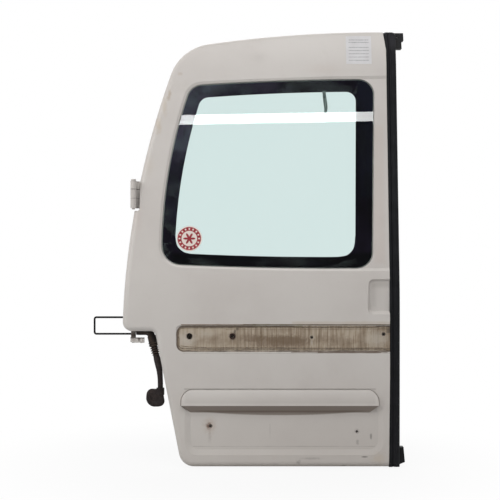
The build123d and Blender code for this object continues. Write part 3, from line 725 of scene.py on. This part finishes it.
print("black finishes ready")

# %% Steel and old glue
steel = Finish("bare_steel", Metallic=1.0)
tarnish = steel.lay(GRIME, 40.0, 0.55)
steel.feed("Base Color", steel.mix(tarnish, srgb(150, 148, 144), srgb(96, 76, 60)))
steel.feed("Roughness", steel.span(tarnish, 0.0, 1.0, 0.35, 0.75))
BARE_STEEL = steel.material

old_glue = Finish("old_glue", Roughness=0.7)
crumb = old_glue.noise(old_glue.place, 180.0, 4.0, 0.65)
tone = old_glue.mix(old_glue.span(crumb, 0.35, 0.65), UMBER, srgb(150, 134, 110))
old_glue.feed("Base Color", tone)
old_glue.relief(crumb, 0.0005, 0.8)
OLD_GLUE = old_glue.material
print("materials:", len(bpy.data.materials))

# %% [markdown]
# ## Finishes on the CAD nodes
# A CAD solid whose shape is right stays as it is and only gets its material.

# %% Dress the CAD nodes
DRESS = [
    (BODY_PAINT, ["outer_skin"]),
    (INNER_PAINT, ["inner_panel", "door_brace"]),
    (GLASS, ["window_glass"]),
    (ENAMEL, ["window_border"]),
    (ADHESIVE, ["window_adhesive"]),
    (SEAL_RUBBER, ["edge_weatherstrip", "lower_rubber_stop", "upper_rubber_stop"]),
    (BLACK_PLASTIC, ["upper_guide_block", "lower_guide_block"]),
    (BLACK_PLASTIC, ["panel_plug_1", "panel_plug_2", "panel_plug_3", "panel_plug_4"]),
    (HINGE_PAINT, ["upper_hinge_pillar_leaf", "upper_hinge_door_leaf", "upper_hinge_pin"]),
    (HINGE_PAINT, ["lower_hinge_pillar_leaf", "lower_hinge_door_leaf", "lower_hinge_stay_bolt"]),
    (BARE_STEEL, ["lower_hinge_pin"]),
    (BLACK_WIRE, ["check_link", "check_link_bracket"]),
    (BOOT_RUBBER, ["harness_elbow", "harness_gaiter", "harness_pillar_grommet"]),
]
for material, names in DRESS:
    for name in names:
        NODES[name].data.materials.clear()
        NODES[name].data.materials.append(material)
print("dressed:", sum(len(names) for _, names in DRESS), "of", len(NODES))

# %% [markdown]
# ## The harness boot
# A rubber gaiter takes the wires from the door to the body pillar. It hangs from its
# elbow, pleated at the top and smooth below, and a lobed lip rims the disc at its foot.
# The gaiter's line is a NURBS curve with the route's points as its controls, and the tube
# is built round points read from that curve. A tube is a stack of rings and so is a thin
# patch, so these functions serve the pieces after the boot as well.

# %% Rings into a closed skin


def piece(name, mesh, material, body="door"):
    """Makes an object of a mesh, gives it a material and a body to ride on."""
    mesh.name = name
    mesh.materials.clear()
    mesh.materials.append(material)
    obj = bpy.data.objects.new(name, mesh)
    SCENE.collection.objects.link(obj)
    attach(obj, body)
    return obj


def turns(count):
    """Angles all round, in even steps."""
    return [2 * math.pi * k / count for k in range(count)]


def between(stations, at):
    """Values at a place between stations, each a place followed by its values."""
    pairs = zip(stations, stations[1:])
    (start, *low), (end, *high) = next(p for p in pairs if p[0][0] <= at <= p[1][0])
    share = (at - start) / (end - start)
    return [a + (b - a) * share for a, b in zip(low, high)]


def skin_rings(rings, smooth=True, closed=False):
    """Joins rings of points, given in mm, into one closed skin."""
    bm = bmesh.new()
    rows = [[bm.verts.new(Vector(p) * MM) for p in ring] for ring in rings]
    pairs = list(zip(rows, rows[1:]))
    if closed:
        pairs.append((rows[-1], rows[0]))
    for a, b in pairs:
        for k in range(len(a)):
            bm.faces.new((a[k - 1], b[k - 1], b[k], a[k]))
    if not closed:
        bm.faces.new(rows[0])
        bm.faces.new(rows[-1])
    bmesh.ops.recalc_face_normals(bm, faces=bm.faces)
    for face in bm.faces:
        face.smooth = smooth and len(face.verts) == 4
    mesh = bpy.data.meshes.new("skin")
    bm.to_mesh(mesh)
    bm.free()
    return mesh


def patch(name, rows, surface, front, back, material):
    """A thin piece on a surface: rows of places, and the depths of its two sides."""
    rings = []
    for row in rows:
        ring = [(x, surface(x, z, front), z) for x, z in row]
        rings.append(ring + [(x, surface(x, z, back), z) for x, z in reversed(row)])
    return piece(name, skin_rings(rings, smooth=False), material)


print("ring helpers ready")

# %% Curves and tubes


def hold(data):
    """An object that holds data for a moment."""
    holder = bpy.data.objects.new("holder", data)
    SCENE.collection.objects.link(holder)
    return holder


def bake(holder):
    """The plain mesh that a holder comes to. The holder is taken away."""
    graph = bpy.context.evaluated_depsgraph_get()
    mesh = bpy.data.meshes.new_from_object(holder.evaluated_get(graph))
    bpy.data.objects.remove(holder)
    return mesh


def spline_points(route, steps):
    """Points, in mm, along a NURBS curve with the route's points as its controls."""
    curve = bpy.data.curves.new("route", "CURVE")
    curve.dimensions = "3D"
    spline = curve.splines.new("NURBS")
    spline.points.add(len(route) - 1)
    for point, place in zip(spline.points, route):
        point.co = (*place, 1.0)
    spline.order_u = 3
    spline.use_endpoint_u = True
    spline.resolution_u = steps
    mesh = bake(hold(curve))
    points = [v.co.copy() for v in mesh.vertices]
    bpy.data.meshes.remove(mesh)
    return points


def tube(points, radius_at, ridge_at, sides):
    """A tube round points; its radius and ridges depend on the distance run."""
    rings = []
    ridges = []
    run = 0.0
    side = Vector((0, 1, 0))
    for i, p in enumerate(points):
        ahead = points[min(i + 1, len(points) - 1)] - points[max(i - 1, 0)]
        up = ahead.cross(side).normalized()
        if i:
            run += (p - points[i - 1]).length
        ring = []
        for a in turns(sides):
            ring.append(p + (side * math.cos(a) + up * math.sin(a)) * radius_at(run, a))
        rings.append(ring)
        ridges += [ridge_at(run)] * sides
    mesh = skin_rings(rings)
    stored = mesh.attributes.new("ridge", "FLOAT", "POINT")
    stored.data.foreach_set("value", ridges)
    return mesh


print("tube helpers ready")

# %% Shape of the boot
GAITER_ROUTE = [(61, -20, -400), (69.4, -20, -435), (78, -20, -473), (78, -20, -511)]
GAITER_PROFILE = [
    (0, 10.2), (19, 9.9), (27, 8.3), (38, 9.2),
    (54, 9.0), (68, 8.0), (84, 7.1), (114, 7.0),
]
GAITER_FOLD = 0.5
PLEAT_PITCH = 6.0
PLEATS_END = 24.0
PLEAT_DEPTH = 2.1
CUFF_ROUTE = [(56.3, -20, -380.5), (58.2, -20, -388.5), (61.2, -20, -401)]
CUFF_R = 11.5
CUFF_PLAIN = 10.0
NOSE_ROUTE = [(14.8, -20, -362.5), (17, -20, -362.5), (20, -20, -362.5)]
NOSE_R = 9.0
NOSE_FLARE = 0.08
LIP_X, LIP_Y, LIP_Z = 64.0, -27.0, -537.0
LIP_R = 22.4
LIP_SIDES = 60
LIP_LOBES = [(126, 4.4), (-35, 5.6)]
LIP_PROFILE = [(0.40, 0.4), (0.44, -1.0), (0.90, -1.8), (1.0, -0.8), (1.0, 2.6), (0.85, 3.2)]
LOBE_POWER = 6


def lip_ring(share, depth):
    """One outline of the grommet's lip, with a lobe at two of its sides."""
    ring = []
    for a in turns(LIP_SIDES):
        r = LIP_R
        for turn, height in LIP_LOBES:
            r += height * max(0.0, math.cos(a - math.radians(turn))) ** LOBE_POWER
        x = LIP_X + share * r * math.cos(a)
        z = LIP_Z + share * r * math.sin(a)
        ring.append((x, LIP_Y + depth, z))
    return ring


def pleat(run):
    """Height of the pleats, from -1 to 1, along the run."""
    return math.cos(2 * math.pi * run / PLEAT_PITCH)


def pleat_dust(run):
    """Dust and a painted highlight on the crests of the pleats only."""
    return max(0.0, pleat(run)) ** 2 if run < PLEATS_END else 0.0


def gaiter_radius(run, angle):
    """Pleats near the elbow, then a slack wall with a soft fold."""
    radius = between(GAITER_PROFILE, run)[0]
    if run < PLEATS_END:
        return radius + PLEAT_DEPTH * pleat(run)
    return radius - GAITER_FOLD * math.cos(angle) ** 2


def cuff_radius(run, angle):
    """Plain at the elbow, with round ribs towards the gaiter."""
    if run < CUFF_PLAIN:
        return CUFF_R
    return CUFF_R + PLEAT_DEPTH * max(0.0, pleat(run))


def nose_radius(run, angle):
    """A short snout that widens to the elbow."""
    return NOSE_R + NOSE_FLARE * run


print("gaiter route:", len(GAITER_ROUTE), "points")

# %% Pieces of the boot
lip_skin = skin_rings([lip_ring(*row) for row in LIP_PROFILE])
lip = piece("grommet_lip", lip_skin, BOOT_RUBBER)
gaiter_line = spline_points(GAITER_ROUTE, 120)
gaiter_skin = tube(gaiter_line, gaiter_radius, pleat_dust, 28)
gaiter = piece("gaiter", gaiter_skin, BOOT_RUBBER)
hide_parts("harness_gaiter")
cuff_skin = tube(spline_points(CUFF_ROUTE, 60), cuff_radius, pleat_dust, 32)
piece("elbow_cuff", cuff_skin, BOOT_RUBBER)
nose_skin = tube(spline_points(NOSE_ROUTE, 8), nose_radius, pleat_dust, 28)
piece("elbow_nose", nose_skin, BOOT_RUBBER)
print("gaiter:", round(sum((b - a).length for a, b in zip(gaiter_line, gaiter_line[1:])), 1), "mm")

# %% [markdown]
# ## The edge seal
# The weatherstrip along the free edge is an extrusion: a flat lip against the sheet, a
# groove and a round bulb. One cross-section is drawn and carried up the edge, where it
# follows the sheet's profile and grows wider near the roof, as the real moulding does.

# %% Extruded weatherstrip
SEAL_SECTION = [
    (0.2, 19.0), (0.2, 5.6), (1.0, 4.2), (2.6, 3.5), (5.6, 3.5), (7.6, 4.2),
    (8.8, 5.8), (9.4, 7.2), (11.0, 8.2), (12.6, 7.4), (13.4, 6.0), (15.2, 5.0),
    (18.0, 4.5), (21.6, 4.7), (24.6, 6.0), (26.4, 8.6), (27.0, 11.6), (26.4, 14.8),
    (24.4, 17.2), (21.0, 18.0), (15.0, 17.6), (13.0, 16.8), (9.4, 16.8), (8.6, 19.0),
]
SEAL_STATIONS = [(BOTTOM_Z, 675.5, 1.08), (-480, 678, 1.0), (388, 678, 1.03), (TOP_Z, 671, 1.36)]
SEAL_STEP = 9.0
SEAL_CROWN = 9.0
SEAL_TIP = 0.35
SEAL_MIDDLE = (13.5, 12.0)


def seal_ring(z):
    """The section at one height."""
    x, wide = between(SEAL_STATIONS, z)
    left = max(0.0, 1 - (TOP_Z - z) / SEAL_CROWN)
    keep = SEAL_TIP + (1 - SEAL_TIP) * math.sqrt(1 - left ** 2)
    ring = []
    for a, depth in SEAL_SECTION:
        a = SEAL_MIDDLE[0] + (a - SEAL_MIDDLE[0]) * keep
        depth = SEAL_MIDDLE[1] + (depth - SEAL_MIDDLE[1]) * keep
        ring.append((x + a * wide, sheet_y(z, depth), z))
    return ring


steps = int((TOP_Z - BOTTOM_Z) / SEAL_STEP)
heights = [BOTTOM_Z + (TOP_Z - SEAL_CROWN - BOTTOM_Z) * i / steps for i in range(steps + 1)]
heights += [TOP_Z - SEAL_CROWN * (1 - math.sin(math.pi * i / 16)) for i in range(1, 9)]
seal_skin = skin_rings([seal_ring(z) for z in heights])
seal = piece("seal", seal_skin, SEAL_RUBBER)
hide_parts("edge_weatherstrip")
print("seal rings:", len(heights))

# %% [markdown]
# ## Paper label and round sticker
# A paper label is stuck to the head of the door and a vinyl disc to the corner of the
# pane. Both are far thinner than a CAD solid needs to be, so each is a patch a quarter of
# a millimetre thick laid on the surface below it. The label is plain ruled paper and the
# disc carries a plain flower in a ring of dots.

# %% Label on the head
LABEL_LEFT, LABEL_RIGHT = 571.0, 639.0
LABEL_LOW, LABEL_HIGH = 349.0, 427.0
LABEL_T = 0.25
LABEL_SINK = 0.05
RULE_HEIGHTS = (358, 367, 376, 385, 394, 408, 415)
RULE_INSET = 7
RULE_T = 1.7
TOP_ARC = (661.8, -2658.6, 3098.6)


def top_edge(x):
    """Height of the door's top edge."""
    return TOP_ARC[1] + math.sqrt(TOP_ARC[2] ** 2 - (x - TOP_ARC[0]) ** 2)


def head_surface(x, z, depth):
    """The sheet near the roof, with its rounded edge, at a depth behind its front."""
    gap = top_edge(x) - z
    fall = 0.0
    if gap < EDGE_ROUND:
        fall = EDGE_ROUND - math.sqrt(EDGE_ROUND ** 2 - (EDGE_ROUND - gap) ** 2)
    return sheet_y(z) + fall + depth


paper = Finish("label_paper", Roughness=0.72)
fade = paper.noise(paper.place, 30.0, 3.0)
colour = paper.mix(paper.span(fade, 0.3, 0.7), srgb(215, 214, 215), srgb(207, 205, 206))
rule_left, rule_right = LABEL_LEFT + RULE_INSET, LABEL_RIGHT - RULE_INSET
rules = [
    (rule_left, rule_right, z, z + RULE_T, 0.5, 2.6, 420.0, 0.70, srgb(92, 92, 98))
    for z in RULE_HEIGHTS
]
paper.feed("Base Color", straight_marks(paper, colour, rules))
paper.relief(paper.noise(paper.place, 700.0, 2.0), 0.00005, 0.5)
wide, high = LABEL_RIGHT - LABEL_LEFT, LABEL_HIGH - LABEL_LOW
across = [LABEL_LEFT + wide * i / 12 for i in range(13)]
rows = [[(x, LABEL_LOW + high * j / 24) for x in across] for j in range(25)]
patch("paper_label", rows, head_surface, -LABEL_T, LABEL_SINK, paper.material)
print("label:", wide, "x", high, "mm")

# %% Print of the vinyl disc
DISC_X, DISC_Z, DISC_R = 155.0, -118.0, 33.5
PETALS = 6.0
DOTS = 16.0
vinyl = Finish("sticker_vinyl", Roughness=0.42)
spread = (1 / (DISC_R * MM), 0, 1 / (DISC_R * MM * math.cos(LEAN)))
centred = vinyl.stretch(spread, (-DISC_X * MM * spread[0], 0, -DISC_Z * MM * spread[2]))
radius = vinyl.add("VectorMath", {0: centred}, out="Value", operation="LENGTH")
side_x, _, side_z = vinyl.axes(centred)
angle = vinyl.math("ARCTAN2", side_z, side_x)
petals = vinyl.math("COSINE", vinyl.times(angle, PETALS))
petals = vinyl.plus(vinyl.times(petals, 0.15), 0.32)
flower = vinyl.span(vinyl.minus(radius, petals), 0.015, -0.015)
ring = vinyl.times(vinyl.span(radius, 0.925, 0.905), vinyl.span(radius, 0.60, 0.62))
beat = vinyl.span(vinyl.math("COSINE", vinyl.times(angle, DOTS)), 0.25, 0.65)
middle = vinyl.math("ABSOLUTE", vinyl.minus(radius, 0.765))
dots = vinyl.times(beat, vinyl.span(middle, 0.085, 0.055))
ring = vinyl.times(ring, vinyl.minus(1.0, dots))
red = vinyl.math("MAXIMUM", ring, flower)
sun = vinyl.noise(vinyl.place, 60.0, 3.0)
ink = vinyl.mix(vinyl.span(sun, 0.35, 0.7), srgb(146, 30, 42), srgb(168, 52, 58))
front = vinyl.mix(red, srgb(228, 216, 208), ink)
facing_y = vinyl.axes(vinyl.add("TexCoord", out="Normal"))[1]
colour = vinyl.mix(vinyl.span(facing_y, 0.2, 0.6), front, srgb(214, 208, 202))
vinyl.feed("Base Color", colour)
print("print:", int(PETALS), "petals and", int(DOTS), "dots")

# %% Vinyl disc on the pane
GLASS_FRONT = 3.0
DISC_T = 0.2
DISC_SINK = 0.02
DISC_SIDES = 72


def disc_ring(r, lift):
    """One circle on the leaning pane."""
    ring = []
    for a in turns(DISC_SIDES):
        z = DISC_Z + r * math.sin(a) * math.cos(LEAN)
        ring.append((DISC_X + r * math.cos(a), lean_y(z, GLASS_FRONT) - lift, z))
    return ring


disc = [disc_ring(DISC_R, -DISC_SINK), disc_ring(DISC_R, DISC_T)]
disc += [disc_ring(DISC_R * s, DISC_T) for s in (0.98, 0.8, 0.6, 0.4, 0.2, 0.05)]
piece("round_sticker", skin_rings(disc, smooth=False), vinyl.material)
print("disc radius:", DISC_R, "mm")

# %% [markdown]
# ## Rounder corners of the enamel
# At the two lower corners the enamel fills the bend with a wide arc. The fill is a film
# on the inner side of the pane, so each is a thin crescent that runs under the border:
# its inner edge follows the arc and its outer edge is pushed out towards the corner.

# %% Enamel in the lower corners
PANE_BACK = 7.0
FILM_T = 0.06
FILM_REACH = 11.0
FILM_SINK = 0.01
ENAMEL_ARCS = [
    (
        "enamel_corner_left",
        (-1, -1),
        [(118.6, -108), (119.4, -133), (133, -149), (150, -158), (186, -160.6)],
    ),
    (
        "enamel_corner_right",
        (1, -1),
        [(589.6, -112), (588.6, -138), (578, -155), (562, -165.5), (532, -166.4)],
    ),
]


def pane_back(x, z, depth):
    """The pane's inner side, at a depth behind it."""
    return lean_y(z, PANE_BACK + depth)


for name, (out_x, out_z), arc in ENAMEL_ARCS:
    places = spline_points([(x, 0, z) for x, z in arc], 20)
    shift = (out_x * FILM_REACH, out_z * FILM_REACH)
    rows = [[(p.x, p.z), (p.x + shift[0], p.z + shift[1])] for p in places]
    patch(name, rows, pane_back, -FILM_SINK, FILM_T - FILM_SINK, ENAMEL)
print("enamel corners:", len(ENAMEL_ARCS))

# %% [markdown]
# ## Tape on the inside of the pane
# A short tail of black tape hangs from the enamel at the top of the pane, stuck to its
# inner side. It is a flat patch, narrow at the top, and its middle has faded to grey.

# %% Tail of tape
TAPE_ROUTE = [
    (511.0, 277, 4.2), (511.8, 268, 4.4), (513.4, 254, 4.9), (515.0, 240, 5.0),
    (516.0, 228, 4.6), (515.0, 221, 3.6), (513.2, 214, 1.6),
]
TAPE_T = 0.3
TAPE_SINK = 0.02
tape = Finish("faded_tape", Roughness=0.7)
worn = tape.span(tape.drawn(260, 60, 3.0), 0.30, 0.60)
tape.feed("Base Color", tape.mix(worn, srgb(44, 50, 49), srgb(138, 146, 142)))
rows = [[(x + half * (i - 3) / 3, z) for i in range(7)] for x, z, half in TAPE_ROUTE]
patch("tape_tail", rows, pane_back, -TAPE_SINK, TAPE_T, tape.material)
print("tape:", TAPE_ROUTE[0][1] - TAPE_ROUTE[-1][1], "mm long")

# %% [markdown]
# ## Beads, welds and bolts
# Glue beads, seam sealer and spot welds all follow a path on the sheet, and bolts sit at
# points with a direction, so each is a Geometry Nodes tree. A path is a plain chain of
# points that carries the sheet's direction as an attribute. The tree walks along it,
# places its shape and ends in Realize Instances, because an export drops instances.

# %% Geometry Nodes trees


class Shape(Graph):
    """A Geometry Nodes tree with named inputs."""

    family = "GeometryNode"

    def __init__(self, name, inputs):
        super().__init__(bpy.data.node_groups.new(name, "GeometryNodeTree"))
        whole = {"Geometry": "Geometry"} | inputs | {"Material": "Material"}
        self.declare(whole, "Geometry", "Geometry")

    def walk(self, step):
        """Even points along the given chains."""
        line = self.add("MeshToCurve", {0: self["Geometry"]})
        return self.add("ResampleCurve", {"Curve": line, "Length": step}, mode="LENGTH")

    def cone(self, sides, top, bottom, depth):
        """A flat-topped cone, in shares of the tree's Radius and Height."""
        inputs = {
            "Vertices": sides,
            "Radius Top": self.times(self["Radius"], top),
            "Radius Bottom": self.times(self["Radius"], bottom),
            "Depth": self.times(self["Height"], depth),
        }
        return self.add("MeshCone", inputs)

    def lift(self, geometry, share):
        """Raises a shape by a share of the tree's Height."""
        rise = self.add("ShaderNodeCombineXYZ", {2: self.times(self["Height"], share)})
        return self.add("Transform", {"Geometry": geometry, "Translation": rise})

    def aligned(self):
        """Rotation that stands a shape on the path's own direction."""
        facing = self.add("InputNamedAttribute", {"Name": "facing"}, data_type="FLOAT_VECTOR")
        return self.add("FunctionNodeAlignRotationToVector", {"Vector": facing}, axis="Z")

    def finish(self, geometry):
        """Realizes, dresses and sends out the result."""
        real = self.add("RealizeInstances", {0: geometry})
        dressed = self.add("SetMaterial", {"Geometry": real, "Material": self["Material"]})
        self.tree.links.new(dressed, self.result)
        return self.tree


print("tree helpers ready")

# %% Seeds for the trees


def chain(paths, linked=True):
    """Mesh of points in mm, each with a direction, linked into open chains."""
    verts, edges, facing = [], [], []
    for path in paths:
        first = len(verts)
        verts += [Vector(p) * MM for p, _ in path]
        facing += [Vector(d).normalized() for _, d in path]
        if linked:
            edges += [(i, i + 1) for i in range(first, len(verts) - 1)]
    mesh = bpy.data.meshes.new("chain")
    mesh.from_pydata(verts, edges, [])
    stored = mesh.attributes.new("facing", "FLOAT_VECTOR", "POINT")
    for item, value in zip(stored.data, facing):
        item.vector = value
    return mesh


def grow(name, seed, tree, values, material, body="door"):
    """A piece that a tree grows on a seed mesh; the values are the tree's own inputs."""
    holder = hold(seed)
    modifier = holder.modifiers.new("grow", "NODES")
    modifier.node_group = tree
    given = values | {"Material": material}
    for item in tree.interface.items_tree:
        if item.in_out == "INPUT" and item.name in given:
            modifier[item.identifier] = given[item.name]
    return piece(name, bake(holder), material, body)


print("seed helpers ready")

# %% A bead along a path
bead = Shape("bead_along_path", {"Radius": 0.001, "Wobble": 0.4, "Grain": 90.0, "Step": 0.005})
ripple = bead.minus(bead.noise(bead.add("InputPosition"), bead["Grain"], 2.0), 0.5)
ripple = bead.plus(bead.times(ripple, bead["Wobble"]), 1.0)
round_wire = bead.add("CurvePrimitiveCircle", {"Resolution": 8, "Radius": bead["Radius"]})
sweep = {"Curve": bead.walk(bead["Step"]), "Profile Curve": round_wire}
skin = bead.add("CurveToMesh", sweep | {"Scale": ripple, "Fill Caps": True})
BEAD = bead.finish(bead.add("SetShadeSmooth", {0: skin}))
print("tree:", BEAD.name)

# %% Glue beads in the strip recess
RECESS_Y = FRONT_Y + 3.0
FRONTWARD = (0, -1, 0)
GLUE_LOOP = [
    (676, -351), (420, -350), (150, -351), (128, -352), (127, -372),
    (127, -398), (138, -406), (300, -407), (480, -408), (676, -407),
]
GLUE_INNER = [(134, -397), (150, -402), (320, -402), (500, -403.5), (660, -403)]


def on_recess(route):
    """A smooth glue line on the recess floor."""
    points = spline_points([(x, RECESS_Y, z) for x, z in route], 24)
    return [(p, FRONTWARD) for p in points]


lines = chain([on_recess(GLUE_LOOP), on_recess(GLUE_INNER)])
sizes = {"Radius": 0.75 * MM, "Wobble": 1.1, "Grain": 70.0, "Step": 4 * MM}
glue = grow("glue_beads", lines, BEAD, sizes, OLD_GLUE)
print("glue faces:", len(glue.data.polygons))

# %% Seam sealer along the rim
LEFT_ARC = (2182.2, -399.2, 2201.4)


def left_edge(z):
    """Place of the door's left edge."""
    return LEFT_ARC[0] - math.sqrt(LEFT_ARC[2] ** 2 - (z - LEFT_ARC[1]) ** 2)


def rim_path(route):
    """A smooth line on the inner side of the rim flange."""
    points = spline_points([(x, 0, z) for x, z in route], 16)
    return [((p.x, sheet_y(p.z, RIM_DEPTH), p.z), sheet_back(p.z)) for p in points]


def rim_routes(inset):
    """Lines along the rim at one distance from its edge: top and left, foot, right."""
    top = [(x, top_edge(x) - inset) for x in (655, 560, 449, 350, 250, 206)]
    turn = [(165 + 0.4 * inset, 397 - inset), (128 + inset, 368 - 0.4 * inset)]
    left = [(left_edge(z) + inset, z) for z in (300, 260, 200, 150, 100, 60)]
    lower = [(left_edge(z) + inset, z) for z in (-62, -140, -220, -300)]
    foot = [(182, BOTTOM_Z + inset), (400, BOTTOM_Z + inset), (655, BOTTOM_Z + inset)]
    right = [(RIGHT_X - inset, -600), (RIGHT_X - inset, -380)]
    high = [(RIGHT_X - inset, -290), (RIGHT_X - inset, 0), (RIGHT_X - inset, 350)]
    return [rim_path(r) for r in (top + turn + left, lower, foot, right, high)]


SEALER_INSET = 4.5
sizes = {"Radius": 1.7 * MM, "Wobble": 0.5, "Grain": 40.0, "Step": 7 * MM}
lines = chain(rim_routes(SEALER_INSET))
sealer = grow("seam_sealer", lines, BEAD, sizes, INNER_PAINT)
print("sealer faces:", len(sealer.data.polygons))

# %% Spot welds
WELD_INSET = 11.5
WELD_SIDES = 16
weld = Shape("welds_along_path", {"Radius": 0.003, "Height": 0.0004, "Pitch": 0.045})
stud = {"Points": weld.walk(weld["Pitch"]), "Instance": weld.cone(WELD_SIDES, 0.62, 1.0, 1.0)}
WELDS = weld.finish(weld.add("InstanceOnPoints", stud | {"Rotation": weld.aligned()}))
sizes = {"Radius": 3.1 * MM, "Height": 0.45 * MM, "Pitch": 42 * MM}
lines = chain(rim_routes(WELD_INSET))
welds = grow("spot_welds", lines, WELDS, sizes, INNER_PAINT)
print("spot welds:", len(welds.data.polygons) // (WELD_SIDES + 2))

# %% A flanged bolt head
BOLT_SIDES = 28
FULL_TURN = 6.283
bolt = Shape("flanged_bolts", {"Radius": 0.006, "Height": 0.005, "Seed": 4})
collar = bolt.cone(BOLT_SIDES, 1.25, 1.42, 0.28)
hexagon = {"Vertices": 6, "Radius": bolt.times(bolt["Radius"], 1.1), "Depth": bolt["Height"]}
hexagon = bolt.lift(bolt.add("MeshCylinder", hexagon), 0.5)
crown = bolt.lift(bolt.cone(BOLT_SIDES, 0.72, 0.92, 0.16), 1.0)
join = bolt.tree.nodes.new("GeometryNodeJoinGeometry")
for part in (collar, hexagon, crown):
    bolt.tree.links.new(part, join.inputs[0])
chance = {3: FULL_TURN, "Seed": bolt["Seed"]}
twist = bolt.add("FunctionNodeRandomValue", chance, out=1, data_type="FLOAT")
twist = bolt.add("FunctionNodeAxisAngleToRotation", {"Axis": (0, 0, 1), "Angle": twist})
stand = {"Rotation": bolt.aligned(), "Rotate By": twist}
stand = bolt.add("FunctionNodeRotateRotation", stand, rotation_space="LOCAL")
heads = {"Points": bolt["Geometry"], "Instance": join.outputs[0], "Rotation": stand}
BOLTS = bolt.finish(bolt.add("InstanceOnPoints", heads))
print("tree:", BOLTS.name)

# %% Bolts on the hinges
OUTWARD = (-1, 0, 0)
LEAF_X = 19.0
BOLT_PLACES = [(LEAF_X, 14, 20), (LEAF_X, 14, -25), (LEAF_X, -22, -280), (LEAF_X, -22, -304)]
STAY_FACE = (30.0, -44.0, -384.5)
sizes = {"Radius": 5.2 * MM, "Height": 4.6 * MM, "Seed": 4}
points = chain([[(p, OUTWARD) for p in BOLT_PLACES]], linked=False)
grow("hinge_bolts", points, BOLTS, sizes, HINGE_PAINT)
sizes = {"Radius": 3.2 * MM, "Height": 3.4 * MM, "Seed": 9}
points = chain([[(STAY_FACE, FRONTWARD)]], linked=False)
grow("stay_bolt_head", points, BOLTS, sizes, HINGE_PAINT, "pillar_leaves")
print("bolts:", len(BOLT_PLACES) + 1)

# %% [markdown]
# ## Broken clip
# One fixing hole still holds the collar of a snapped plastic clip. It is a ring turned
# from a small wavy section, so rings of points round the hole's axis make it.

# %% Clip collar in the second hole
CLIP_X, CLIP_Z, CLIP_R = 268.5, -372.5, 6.5
CLIP_WALL = 1.5
CLIP_TEAR = 0.4
CLIP_RISE = 0.4


def clip_ring(a):
    """One slice of the collar, at an angle round the hole."""
    torn = 0.6 * math.sin(3 * a) + 0.4 * math.sin(7 * a + 1)
    ring = []
    for b in turns(10):
        r = CLIP_R + CLIP_WALL * math.cos(b)
        y = RECESS_Y - CLIP_RISE + (CLIP_WALL + CLIP_TEAR * torn) * math.sin(b)
        ring.append((CLIP_X + r * math.cos(a), y, CLIP_Z + r * math.sin(a)))
    return ring


clip = skin_rings([clip_ring(a) for a in turns(36)], closed=True)
piece("clip_collar", clip, BROWN_PLASTIC)
print("clip faces:", len(clip.polygons))

# %% [markdown]
# ## Studio
# A pale floor and a white world, seen as white by the camera and through the glass.
# The light that falls on the door is softer: a large lamp above and in front, a small
# one at the hinge side, one behind for the inner side, and the sky's own glow, stronger
# from above. The lamp behind is not seen through the glass. A narrow tube lamp, high in
# front, gives the long reflection that crosses the leaning glass.

# %% Floor
FLOOR_GAP = 0.004
floor_z = CAD_BOX[0].z - FLOOR_GAP
bpy.ops.mesh.primitive_plane_add(size=14, location=(0.3, 0, floor_z))
floor = bpy.context.object
floor.name = "floor"
ground = Finish("floor_pale", Roughness=0.9, Base_Color=(0.62, 0.62, 0.62, 1.0))
away = ground.add("VectorMath", {0: ground.place}, out="Value", operation="LENGTH")
white = ground.times(ground.seen(), ground.span(away, 0.25, 0.90, 0.90, 1.0))
glow = ground.tree.nodes.new("ShaderNodeEmission")
glow.inputs["Color"].default_value = (1, 1, 1, 1)
blend = ground.tree.nodes.new("ShaderNodeMixShader")
ground.tree.links.new(white, blend.inputs[0])
ground.tree.links.new(ground.shader.outputs[0], blend.inputs[1])
ground.tree.links.new(glow.outputs[0], blend.inputs[2])
ground.tree.links.new(blend.outputs[0], ground.tree.nodes["Material Output"].inputs[0])
floor.data.materials.append(ground.material)
print("floor at", round(floor_z, 4))

# %% World
world = bpy.data.worlds.new("studio")
SCENE.world = world
world.use_nodes = True
sky = Shader(world.node_tree)
_, way_y, way_z = sky.axes(sky.add("TexCoord", out=0))
soft = sky.span(way_z, -0.6, 0.9, 0.20, 0.55)
mirror = sky.span(way_y, -0.2, 0.3, 0.10, 1.0)
glossy = sky.add("LightPath", out="Is Glossy Ray")
level = sky.add("Mix", {0: glossy, 2: soft, 3: mirror}, data_type="FLOAT")
level = sky.add("Mix", {0: sky.seen(), 2: level, 3: 1.0}, data_type="FLOAT")
sky.tree.links.new(level, sky.tree.nodes["Background"].inputs["Strength"])
sky.tree.nodes["Background"].inputs["Color"].default_value = (1, 1, 1, 1)
print("world ready")

# %% Lamps


def lamp(name, place, aim, size, power):
    """An area lamp that points at a place."""
    data = bpy.data.lights.new(name, "AREA")
    data.shape = "RECTANGLE"
    data.size, data.size_y = size
    data.energy = power
    obj = bpy.data.objects.new(name, data)
    SCENE.collection.objects.link(obj)
    obj.location = place
    obj.rotation_euler = (Vector(aim) - Vector(place)).to_track_quat("-Z", "Y").to_euler()
    obj.visible_camera = False
    return obj


DOOR_MIDDLE = (0.33, 0.0, -0.10)
TUBE_TILT = math.radians(1.0)
lamp("overhead", (0.35, -2.0, 2.5), DOOR_MIDDLE, (2.6, 1.6), 37)
lamp("left_soft", (-1.6, -1.0, 0.8), (0.0, 0.0, 0.0), (1.2, 1.2), 14.5)
behind = lamp("behind", (0.35, 2.4, 1.5), DOOR_MIDDLE, (2.4, 1.6), 20)
behind.visible_transmission = False
tube_lamp = lamp("tube", (0.35, -3.00, 1.385), (0.35, 0.0, 0.2), (2.0, 0.052), 6.0)
tube_lamp.rotation_euler.rotate_axis("Z", TUBE_TILT)
print("lamps:", len(bpy.data.lights))
